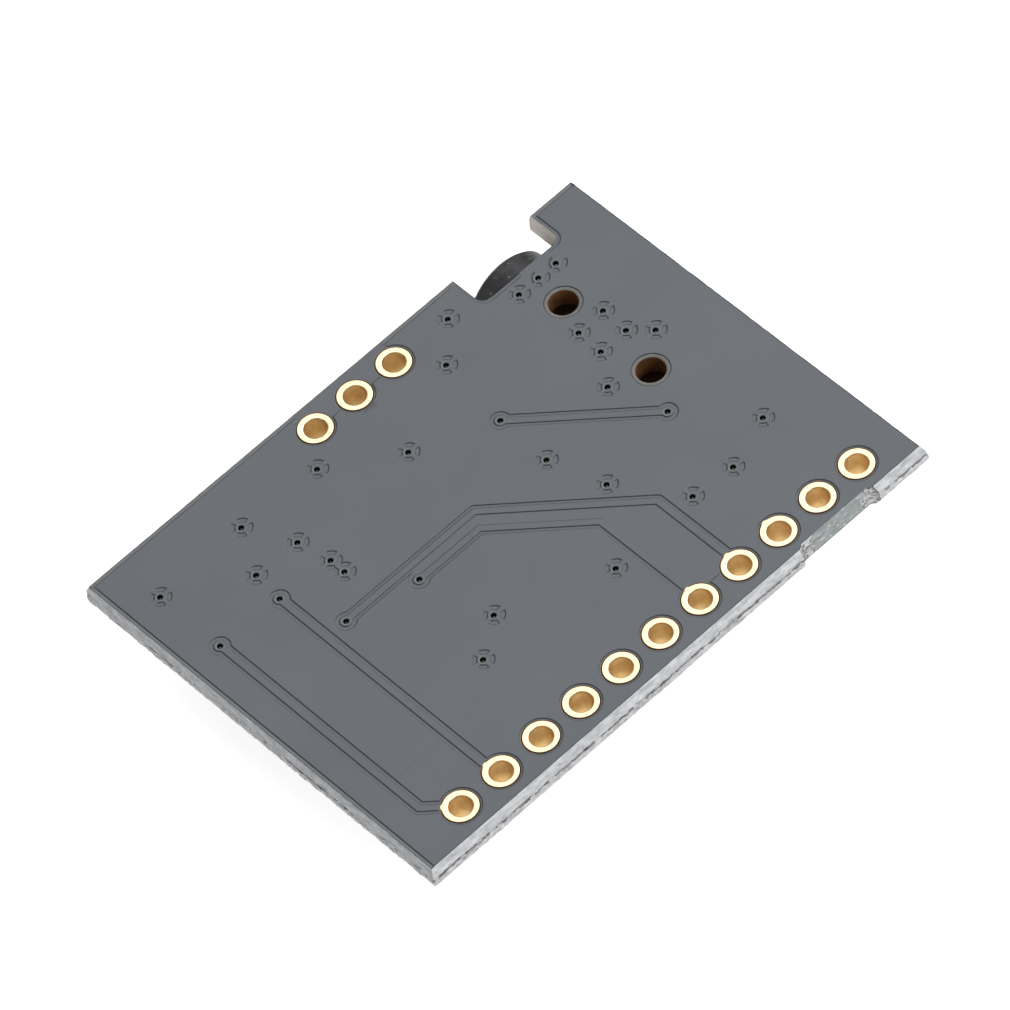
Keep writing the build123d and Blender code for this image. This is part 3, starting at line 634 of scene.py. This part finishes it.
def contour_lines():
    """Lines at several depths of every sloped copper edge, where that edge really shows."""
    drills = np.array([(x, y, r) for x, y, r, _ in holes()])
    lines = []
    for store, sign in ((LOW, -1), (HIGH, 1)):
        for _, at in store:
            for fraction in (0.0, 0.25, 0.5, 0.75, 1.0):
                q = np.array(at(sign * fraction * WALL))
                low, high = levels_of(q)
                if sign < 0:
                    good = (low > -fraction * WALL - 0.004) & (high > -0.02)
                else:
                    good = (high > fraction * WALL - 0.004) & (low < 0.02)
                away = np.hypot(q[:, :1] - drills[:, 0], q[:, 1:] - drills[:, 1])
                clear = np.min(away - drills[:, 2], axis=1)
                lines += shown_runs(q, good, (clear < 0.012) | (board_distance(q) > -0.012))
    for spots, radii, step in ((GROUND + SIGNAL, VIA_LINES, 0.05), (HEADER + OUTPUT, PAD_LINES, 0.075),
                               (PEGS, PEG_LINES, 0.06)):
        for cx, cy in spots:
            lines += [arc_points(cx, cy, r, 0, 2 * pi, step) for r in radii]
    margin = 0.02
    for x0, x1, y in ((LEFT, RECESS[0], FRONT + RIM), (RECESS[1], RIGHT, FRONT + RIM),
                      (LEFT, NOTCH[0], REAR - PALE_RIM), (NOTCH[1], RIGHT, REAR - PALE_RIM)):
        lines.append(spread([(x0 + margin, y), (x1 - margin, y)], 0.3))
    for x in OUTPUT_STRIP:
        lines.append(spread([(x, POUR_REAR + WALL), (x, REAR - PALE_RIM)], 0.1))
    for x in (LEFT + RIM, RIGHT - RIM):
        lines.append(spread([(x, FRONT + margin), (x, REAR - margin)], 0.3))
    for path in SEAM_LINES:
        for shift in (-0.06, -0.03, 0, 0.03, 0.06):
            lines.append([(x, y + shift) for x, y in spread(path, 0.2)])
    return lines


def tube_wall(pieces, x, y, r, n, z0, z1, rows, slot, wander=0.0, seed=0):
    """Inside of a drilled hole, facing its axis."""
    a = np.arange(n) * 2 * pi / n
    grid = []
    for z in np.linspace(z0, z1, rows):
        rr = r + wander * fractal(a * 3.0, np.full(n, z * 6.0), seed)
        grid.append(np.column_stack([x + rr * np.cos(a), y + rr * np.sin(a), np.full(n, z)]))
    pieces.grid(grid, slot, closed=True)


def face_slots(p, t):
    """Material slot of every triangle of the back face."""
    top, foot = 0.25, 0.75
    centre = p[t].mean(axis=1)
    slot = np.full(len(t), MASK_SLOT)
    x, y = centre.T
    beside = (x < OUTPUT_STRIP[0]) | (x > OUTPUT_STRIP[1])
    slot[(y > POUR_REAR + foot * WALL) & beside | (x < POUR_LEFT - foot * WALL)] = THIN_SLOT
    slot[y > REAR - PALE_RIM] = LIP_SLOT
    low, high = levels_of(centre)
    down = np.minimum(-low, high) / WALL
    # Slopes of copper edges take the darker edge colour: painted shade on these slopes, partly also mask
    # thinned over the copper edge.
    slope = (down > top) & (down < foot)
    slot[slope] = SLOPE_SHADE_SLOT
    # Slopes at the pour's edge and a band along the front and side edges take the dark rim colour: painted
    # shade, the band partly also dark resin at the cut.
    pour_line = (y > POUR_REAR) & beside & (y < POUR_REAR + WALL) | (x < POUR_LEFT) & (x > POUR_LEFT - WALL)
    slot[slope & pour_line] = RIM_SHADE_SLOT
    slot[np.maximum(np.maximum(LEFT - x, x - RIGHT), FRONT - y) > -RIM] = RIM_SHADE_SLOT
    # The groove ring around each pad and the ring just outside each peg hole's lip are near black: painted
    # shade in these narrow dips.
    rings = ((HEADER + OUTPUT, BARE_R, BARE_SLOT), (HEADER + OUTPUT, GROOVE_R, GROOVE_SHADE_SLOT),
             (PEGS, RING_OUT_R, RIM_SHADE_SLOT), (PEGS, PALE_R, LIP_SLOT), (GROUND + SIGNAL, VIA_LAND_R, THIN_SLOT))
    for spots, radius, filled in rings:
        for cx, cy in spots:
            slot[np.hypot(x - cx, y - cy) < radius] = filled
    return slot.tolist()


def recess_ends(rows, share):
    """Share that the noise has to pass in the recess: low at its two ends, out of reach between them."""
    length = np.hypot(*np.diff(rows[0][:, :2], axis=0).T).sum()
    return lambda a: share + 2.0 * smooth((np.minimum(a - 0.6, length - a) - 0.35) / 0.5)


def without_doubles(loop):
    """Points of a closed line that lie apart from the next one."""
    return loop[np.hypot(*(loop - np.roll(loop, -1, 0)).T) > 1e-4]


def board():
    """The laminate with its masked faces, routed and scored edges and drilled holes."""
    surfaces, runs, torn = edge_surfaces()
    outline = without_doubles(np.concatenate(runs))
    slack = 0.03
    p, t = triangulate(outline, contour_lines(), lambda c: board_distance(c) < slack)
    pieces = Pieces()
    pieces.add(np.column_stack([p, copper_height(p)]), copper_normal(p), t.tolist(), face_slots(p, t))
    foot = without_doubles(np.concatenate([rows[-1][:, :2] for rows in surfaces.values()]))
    q, t = triangulate(foot, [], lambda c: polygon_distance(c, [tuple(v) for v in foot]) < 0)
    down = np.tile([0, 0, -1.0], (len(q), 1))
    pieces.add(np.column_stack([q, np.full(len(q), -THICK)]), down, t[:, ::-1].tolist(), MASK_SLOT)
    slots = {"recess": CUT_SLOT, "notch": ROUTED_SLOT}
    for name, rows in surfaces.items():
        rows[0][:, 2] = copper_height(rows[0][:, :2])
        if name in slots:
            kinds = [(slots[name], 0)]
            if name == "recess":
                kinds = [(WEB_SLOT, recess_ends(rows, -0.05)), (BARE_SLOT, recess_ends(rows, -0.22))] + kinds
            pieces.grid(rows, patches(rows, kinds, RECESS_SEED), flip=True)
        else:
            # The right side above the crack takes the dark rim colour: painted shadow on that side.
            pieces.grid(rows[:CREVICE_TOP + 1], RIM_SHADE_SLOT if name == "right" else LAMINATE_SLOT, flip=True)
            # Dark patches in the torn crack: painted shade in the crevice.
            crack = rows[CREVICE_TOP:CREVICE_FOOT + 1]
            shown = np.tile(torn[name][1:] > 0.5, len(crack) - 1)
            dark = patches(crack, [(CREVICE_SHADE_SLOT, -0.30), (WEB_SLOT, 0)], CRACK_SEED, 2.4, 30.0)
            pieces.grid(crack, np.where(shown, dark, WEB_SLOT).tolist(), flip=True)
            pieces.grid(rows[CREVICE_FOOT:], WEB_SLOT, flip=True)
    for i, (x, y) in enumerate(PEGS):
        tube_wall(pieces, x, y, PEG_R, PEG_SIDES, HOLE_TOP, -THICK, 14, DRILLED_SLOT, 0.010, i)
    for x, y, r, n in holes():
        if r == VIA_R:
            # Via walls are near black: painted shade deep in the narrow hole.
            tube_wall(pieces, x, y, r, n, -VIA_DIP, -THICK, 4, VIA_SHADE_SLOT)
            gx, gy = x + GLINT_X, y + GLINT_Y
            turns = np.arange(10) * pi / 5
            dome = [[(gx + g * cos(b), gy + g * sin(b), h) for b in turns] for g, h in GLINT]
            pieces.grid(dome, LIP_SLOT, closed=True)
        elif r == PAD_R:
            tube_wall(pieces, x, y, r, n, HOLE_TOP, -THICK, 2, LAMINATE_SLOT)
    return pieces


# Limits between which the noise mixes the two colours of a surface, and the height of its bumps in metres.
MIX_FROM, MIX_TO = 0.34, 0.66
BUMP_HEIGHT = 0.00003


def shader(name, colours, scale, rough, metallic=0.0, bump=0.15, bump_scale=3000.0,
           stretch=(1, 1, 1), fine=None, specular=0.5, painted_shade=None):
    """Procedural surface: two colours mixed by noise, roughness between two values, and fine bumps.

    fine: specks, as the scale of their noise, its two limits and their colour.
    painted_shade: (axis, start, end) for each axis, then the dark colour of a painted shade that the surface
    fades to, its specular fading out with it.
    """
    m = bpy.data.materials.new(name)
    m.use_nodes = True
    t = m.node_tree
    surface = t.nodes["Principled BSDF"]
    surface.inputs["Metallic"].default_value = metallic
    surface.inputs["Specular IOR Level"].default_value = specular
    place = t.nodes.new("ShaderNodeTexCoord")
    mapping = t.nodes.new("ShaderNodeMapping")
    mapping.inputs["Scale"].default_value = stretch
    t.links.new(place.outputs["Object"], mapping.inputs["Vector"])

    def noise(size, depth, roughness=0.55):
        n = t.nodes.new("ShaderNodeTexNoise")
        n.inputs["Scale"].default_value = size
        n.inputs["Detail"].default_value = depth
        n.inputs["Roughness"].default_value = roughness
        t.links.new(mapping.outputs["Vector"], n.inputs["Vector"])
        return n

    def mixed(amount, under, over):
        mix = t.nodes.new("ShaderNodeMix")
        mix.data_type = "RGBA"
        mix.inputs[7].default_value = (*over, 1)
        t.links.new(amount, mix.inputs[0])
        t.links.new(under, mix.inputs[6])
        return mix.outputs[2]

    base = noise(scale, 6.0)
    ramp = t.nodes.new("ShaderNodeValToRGB")
    ramp.color_ramp.elements[0].position = MIX_FROM
    ramp.color_ramp.elements[1].position = MIX_TO
    ramp.color_ramp.elements[0].color = (*colours[0], 1)
    ramp.color_ramp.elements[1].color = (*colours[1], 1)
    t.links.new(base.outputs["Fac"], ramp.inputs["Fac"])
    colour = ramp.outputs["Color"]
    if fine:
        speck = noise(fine[0], 3.0, 0.7)
        window = t.nodes.new("ShaderNodeValToRGB")
        window.color_ramp.elements[0].position = fine[1]
        window.color_ramp.elements[1].position = fine[2]
        t.links.new(speck.outputs["Fac"], window.inputs["Fac"])
        colour = mixed(window.outputs["Color"], colour, fine[3])
    # Painted shade: the colour darkens and the specular fades out over the given spans.
    if painted_shade:
        along = t.nodes.new("ShaderNodeSeparateXYZ")
        t.links.new(place.outputs["Object"], along.inputs[0])
        level = None
        for axis, start, end in painted_shade[:-1]:
            ramp_in = t.nodes.new("ShaderNodeMapRange")
            ramp_in.interpolation_type = "SMOOTHSTEP"
            ramp_in.inputs["From Min"].default_value = start * MM
            ramp_in.inputs["From Max"].default_value = end * MM
            t.links.new(along.outputs[axis], ramp_in.inputs["Value"])
            if level:
                both = t.nodes.new("ShaderNodeMath")
                both.operation = "MULTIPLY"
                t.links.new(level, both.inputs[0])
                t.links.new(ramp_in.outputs["Result"], both.inputs[1])
                level = both.outputs[0]
            else:
                level = ramp_in.outputs["Result"]
        colour = mixed(level, colour, painted_shade[-1])
        shaded_specular = t.nodes.new("ShaderNodeMapRange")
        shaded_specular.inputs["To Min"].default_value = specular
        shaded_specular.inputs["To Max"].default_value = 0.0
        t.links.new(level, shaded_specular.inputs["Value"])
        t.links.new(shaded_specular.outputs["Result"], surface.inputs["Specular IOR Level"])
    t.links.new(colour, surface.inputs["Base Color"])
    spread_rough = t.nodes.new("ShaderNodeMapRange")
    spread_rough.inputs["To Min"].default_value = rough[0]
    spread_rough.inputs["To Max"].default_value = rough[1]
    t.links.new(noise(scale * 2.3, 4.0).outputs["Fac"], spread_rough.inputs["Value"])
    t.links.new(spread_rough.outputs["Result"], surface.inputs["Roughness"])
    bumps = t.nodes.new("ShaderNodeBump")
    bumps.inputs["Strength"].default_value = bump
    bumps.inputs["Distance"].default_value = BUMP_HEIGHT
    t.links.new(noise(bump_scale, 5.0, 0.6).outputs["Fac"], bumps.inputs["Height"])
    t.links.new(bumps.outputs["Normal"], surface.inputs["Normal"])
    return m


mask = shader("mask", [(0.106, 0.118, 0.134), (0.114, 0.126, 0.142)], 160, (0.34, 0.40), bump=0.05,
              bump_scale=2500, specular=0.4)
# Darker mask for the slopes of copper edges: painted shade, partly also mask thinned over the copper edge.
edge = shader("edge", [(0.036, 0.042, 0.050), (0.048, 0.054, 0.062)], 900, (0.34, 0.40), bump=0.1)
laminate = shader("laminate", [(0.50, 0.51, 0.53), (0.78, 0.79, 0.81)], 3600, (0.55, 0.8), bump=1.0,
                  bump_scale=7000, stretch=(0.4, 0.4, 2.0), fine=(6500, 0.60, 0.70, (0.32, 0.32, 0.32)))
routed = shader("routed", [(0.76, 0.69, 0.64), (0.90, 0.83, 0.77)], 1200, (0.5, 0.7), bump=0.35,
                bump_scale=6000, stretch=(1, 1, 3), fine=(2600, 0.62, 0.70, (0.90, 0.90, 0.88)))
cut = shader("cut", [(0.21, 0.24, 0.24), (0.38, 0.41, 0.41)], 2600, (0.4, 0.6), bump=0.6, bump_scale=6000,
             stretch=(0.6, 0.6, 1.6), fine=(3600, 0.58, 0.66, (0.85, 0.87, 0.87)))
# Peg hole walls: brown, going near black and losing their specular towards the far face: painted shade deep
# in the hole.
drilled = shader("drilled", [(0.140, 0.058, 0.020), (0.250, 0.115, 0.045)], 1500, (0.6, 0.8), bump=0.6,
                 bump_scale=5000, specular=0.25, painted_shade=(("Z", -1.12, -1.42), (0.008, 0.005, 0.004)))
# Near black for via walls: painted shade inside the vias.
via_shade = shader("via_shade", [(0.010, 0.010, 0.010), (0.020, 0.019, 0.018)], 900, (0.4, 0.6), bump=0.2,
                     specular=0.2)
# Dark rim colour: painted shade at the pour's edge, along the cut edges, on the right side and around the peg
# holes, partly also dark resin at the cut.
rim = shader("rim", [(0.028, 0.030, 0.031), (0.062, 0.064, 0.067)], 1500, (0.5, 0.7), bump=0.4,
             bump_scale=4000, specular=0.3)
bare = shader("bare", [(0.115, 0.095, 0.080), (0.170, 0.143, 0.122)], 1500, (0.5, 0.7), bump=0.4,
              bump_scale=4000)
# Dark grey for the crack: painted shade in the crevice.
crevice_shade = shader("crevice_shade", [(0.12, 0.12, 0.12), (0.42, 0.42, 0.42)], 3000, (0.6, 0.8), bump=0.8,
                 bump_scale=6000)
web = shader("web", [(0.52, 0.52, 0.54), (0.84, 0.84, 0.85)], 3000, (0.6, 0.8), bump=1.0, bump_scale=6000,
             stretch=(0.5, 0.5, 1.6), fine=(5000, 0.58, 0.68, (0.24, 0.24, 0.24)))
lip = shader("lip", [(0.125, 0.123, 0.115), (0.165, 0.162, 0.150)], 1500, (0.5, 0.7), bump=0.3,
             bump_scale=4000)
# Near-black groove beside the gold: painted shade in the gap at the land's rim.
groove = shader("groove", [(0.020, 0.014, 0.011), (0.042, 0.031, 0.022)], 1500, (0.6, 0.8), bump=0.3,
                specular=0.1)
thin = shader("thin", [(0.122, 0.132, 0.143), (0.140, 0.150, 0.160)], 900, (0.32, 0.38), bump=0.1)
gold = shader("gold", [(0.94, 0.72, 0.45), (0.98, 0.77, 0.50)], 380, (0.22, 0.34), metallic=1.0, bump=0.25,
              bump_scale=3500)
# Hole walls of the plated rows: the gold made darker and browner, painted shade inside the holes.
barrel = shader("barrel", [(0.66, 0.455, 0.190), (0.82, 0.590, 0.270)], 1800, (0.50, 0.66), metallic=0.8,
                bump=0.6, bump_scale=3500, fine=(3800, 0.66, 0.74, (0.62, 0.46, 0.28)))

# Materials in the order of the board's slots.
BOARD_LOOKS = [mask, laminate, routed, cut, drilled, via_shade, rim, bare, crevice_shade, web, lip, groove, thin,
               edge]
board().build("board", BOARD_LOOKS, ["circuit_board"], "solder_mask")


# Roughness and drill marks of a plated wall, roughness of a land, and the limits within which each holds.
DRILL_ROUGH, DRILL_MARK, LAND_ROUGH = 0.007, 0.004, 0.0022
LAND_LOW, LEAN_R = -0.03, 0.6


def plated(name, centres, node, tabs):
    """Plated barrels: land with rounded rim, wall with drill marks and lower land; and bare trace ends."""
    land = [(0.874, -0.040), (0.873, -0.020), (0.868, -0.012), (0.855, -0.009), (0.80, -0.008),
            (0.70, -0.008), (0.65, -0.009), (0.612, -0.013), (0.588, -0.024), (0.572, -0.045),
            (0.566, -0.080)]
    wall = [(HOLE_R - DRILL_TAPER * smooth((-z - DRILL_FROM) / DRILL_LENGTH), z)
            for z in np.linspace(-0.080, -1.375, 20)]
    foot = [(0.490, -1.375), (0.498, -1.388), (0.56, -1.394), (0.84, -1.394), (0.872, -1.38), (0.874, -1.34)]
    n = HOLE_SIDES
    a = np.arange(n) * 2 * pi / n
    pieces = Pieces()
    for i, (x, y) in enumerate(centres):
        for profile, slot in ((land, 0), (wall, 1), (foot, 0)):
            rows = []
            for r, z in profile:
                rr = np.full(n, r)
                if slot:
                    rr = rr + DRILL_ROUGH * fractal(a * 2.4, np.full(n, z * 5.0), i * 7)
                    rr = rr + DRILL_MARK * np.sin(z * 34 + a)
                zz = z + (LAND_ROUGH * fractal(a * 3.0, np.full(n, r * 9.0), i * 5) if z > LAND_LOW else 0.0)
                lean = DRILL_LEAN * float(smooth((-z - DRILL_FROM) / DRILL_LENGTH)) if r < LEAN_R else 0.0
                rows.append(np.column_stack([x + rr * np.cos(a) - LEAN_X * lean,
                                             y + rr * np.sin(a) - LEAN_Y * lean,
                                             np.minimum(zz + 0 * a, -0.001)]))
            pieces.grid(rows, slot, closed=True, flip=True)
    # Distance from the hole, height and half width along a tab, then its section across.
    lengthwise = ((0.80, -0.011, 0.36), (0.865, -0.011, 0.24), (0.91, -0.011, 0.155), (0.95, -0.013, 0.09),
                  (0.972, -0.026, 0.04))
    crosswise = ((-1, 0.03), (-0.85, 0.006), (-0.5, 0.0), (0.5, 0.0), (0.85, 0.006), (1, 0.03))
    for x, y, heading in tabs:
        c, s = cos(radians(heading)), sin(radians(heading))
        rows = []
        for along, top, half in lengthwise:
            row = []
            for part, drop in crosswise:
                across = part * half
                row.append((x + along * c - across * s, y + along * s + across * c, top - drop))
            rows.append(row)
        pieces.grid(rows, 0, flip=True)
    pieces.build(name, [gold, barrel], [node], "gold_plating")


# Trace ends are given as x, y and heading in degrees.
plated("header_plating", HEADER, "header_row_plating",
       [(-12.70, 0.0, 135), (-10.16, 0.0, 106), (2.54, 0.0, 90), (5.08, 0.0, 90), (7.62, 0.0, 97)])
plated("output_plating", OUTPUT, "output_row_plating", [])

# Materials of the CAD nodes that keep their shape.
FINISH = {
    # The jack's top goes near black, with no specular, near the board and away from the notch: painted shade
    # under the board.
    "jack_housing": shader("jack_black_painted_shade", [(0.008, 0.009, 0.010), (0.036, 0.037, 0.040)], 1100, (0.42, 0.56),
                           bump=0.4, fine=(3000, 0.64, 0.71, (0.16, 0.16, 0.16)), specular=0.36,
                           painted_shade=(("Z", -1.50, -1.38), ("Y", 19.4, 18.8), (0.012, 0.006, 0.004))),
    "contact": shader("contact", [(0.66, 0.65, 0.62), (0.78, 0.77, 0.74)], 500, (0.28, 0.4), metallic=1.0),
    "epoxy": shader("epoxy", [(0.018, 0.018, 0.020), (0.030, 0.030, 0.032)], 600, (0.55, 0.7), bump=0.5),
    "tin": shader("tin", [(0.62, 0.62, 0.63), (0.75, 0.75, 0.76)], 700, (0.32, 0.46), metallic=1.0, bump=0.4),
    "tan": shader("tan", [(0.36, 0.25, 0.16), (0.44, 0.31, 0.20)], 600, (0.45, 0.6), bump=0.4),
    "alumina": shader("alumina", [(0.74, 0.73, 0.70), (0.82, 0.81, 0.78)], 600, (0.5, 0.65), bump=0.3),
    "glaze": shader("glaze", [(0.012, 0.012, 0.014), (0.02, 0.02, 0.022)], 500, (0.15, 0.3), bump=0.1),
    "ferrite": shader("ferrite", [(0.035, 0.034, 0.034), (0.055, 0.053, 0.052)], 600, (0.5, 0.65), bump=0.5),
    "solder": shader("solder", [(0.60, 0.60, 0.61), (0.74, 0.74, 0.75)], 600, (0.2, 0.35), metallic=1.0,
                     bump=0.3),
}
WEARS = {
    "jack_housing": "jack_housing", "jack_sleeve_contact": "contact", "jack_ring_contact": "contact",
    "jack_tip_contact": "contact", "jack_switch_contact": "contact", "converter_body": "epoxy",
    "regulator_body": "epoxy", "output_capacitor_bodies": "epoxy", "supply_capacitor_body": "epoxy",
    "converter_leads": "tin", "regulator_leads": "tin", "output_capacitor_terminals": "tin",
    "supply_capacitor_terminals": "tin", "ceramic_capacitor_bodies": "tan", "ceramic_capacitor_caps": "tin",
    "resistor_cores": "alumina", "resistor_glazes": "glaze", "resistor_caps": "tin",
    "ferrite_bead_bodies": "ferrite", "ferrite_bead_caps": "tin", "solder_joints": "solder",
}
for node, finish in WEARS.items():
    materials = nodes[node].data.materials
    materials.clear()
    materials.append(FINISH[finish])

# Pale floor: white to the camera and in mirrored and transmitted rays, paper to the light.
floor_mesh = bpy.data.meshes.new("floor")
floor_corners = [(x * FLOOR_REACH, y * FLOOR_REACH, FLOOR_Z) for x, y in ((-1, -1), (1, -1), (1, 1), (-1, 1))]
floor_mesh.from_pydata(floor_corners, [], [(0, 1, 2, 3)])
floor = bpy.data.objects.new("floor", floor_mesh)
bpy.context.scene.collection.objects.link(floor)
paper = bpy.data.materials.new("paper")
paper.use_nodes = True
tree = paper.node_tree
sheet = tree.nodes["Principled BSDF"]
sheet.inputs["Base Color"].default_value = (0.90, 0.90, 0.90, 1)
sheet.inputs["Roughness"].default_value = 0.9
sheet.inputs["Specular IOR Level"].default_value = 0.0
rays = tree.nodes.new("ShaderNodeLightPath")
total = None
for name in ("Is Glossy Ray", "Is Transmission Ray"):
    either = tree.nodes.new("ShaderNodeMath")
    either.operation = "MAXIMUM"
    tree.links.new(total or rays.outputs["Is Camera Ray"], either.inputs[0])
    tree.links.new(rays.outputs[name], either.inputs[1])
    total = either.outputs[0]
level = tree.nodes.new("ShaderNodeMath")
level.operation = "MULTIPLY"
level.inputs[1].default_value = FLOOR_GLOW
tree.links.new(total, level.inputs[0])
sheet.inputs["Emission Color"].default_value = (1, 1, 1, 1)
tree.links.new(level.outputs[0], sheet.inputs["Emission Strength"])
floor_mesh.materials.append(paper)

world = bpy.data.worlds.new("room")
bpy.context.scene.world = world
world.use_nodes = True
world.node_tree.nodes["Background"].inputs["Color"].default_value = (1, 1, 1, 1)
world.node_tree.nodes["Background"].inputs["Strength"].default_value = WORLD_LIGHT


def panel(name, direction, distance, size, watts):
    """Soft square light that faces the board."""
    light = bpy.data.lights.new(name, "AREA")
    light.shape = "SQUARE"
    light.size = size
    light.energy = watts
    lamp = bpy.data.objects.new(name, light)
    d = Vector(direction).normalized()
    lamp.location = Vector((0, 0.010, 0)) + d * distance
    lamp.rotation_euler = (-d).to_track_quat("-Z", "Y").to_euler()
    bpy.context.scene.collection.objects.link(lamp)


panel("overhead", (0.33, 0.10, 0.90), 0.6, 0.84, 3.2)
panel("side", (0.88, 0.12, 0.42), 0.6, 0.70, 2.1)
panel("front", (0.25, -0.85, 0.45), 0.6, 0.40, 0.85)

# Camera as fitted to the photo.
camera_data = bpy.data.cameras.new("camera")
camera_data.sensor_width = 36.0
camera_data.lens = 328.063
camera_data.clip_start = 0.01
camera_data.clip_end = 10.0
camera = bpy.data.objects.new("camera", camera_data)
camera.matrix_world = Matrix((
    (0.721301, 0.614738, -0.319095, -0.1363961),
    (-0.678386, 0.534110, -0.504499, -0.2052443),
    (-0.139703, 0.580366, 0.802284, 0.3434841),
    (0, 0, 0, 1),
))
bpy.context.scene.collection.objects.link(camera)
bpy.context.scene.camera = camera
bpy.context.scene.view_settings.view_transform = "Standard"

bpy.context.view_layer.update()
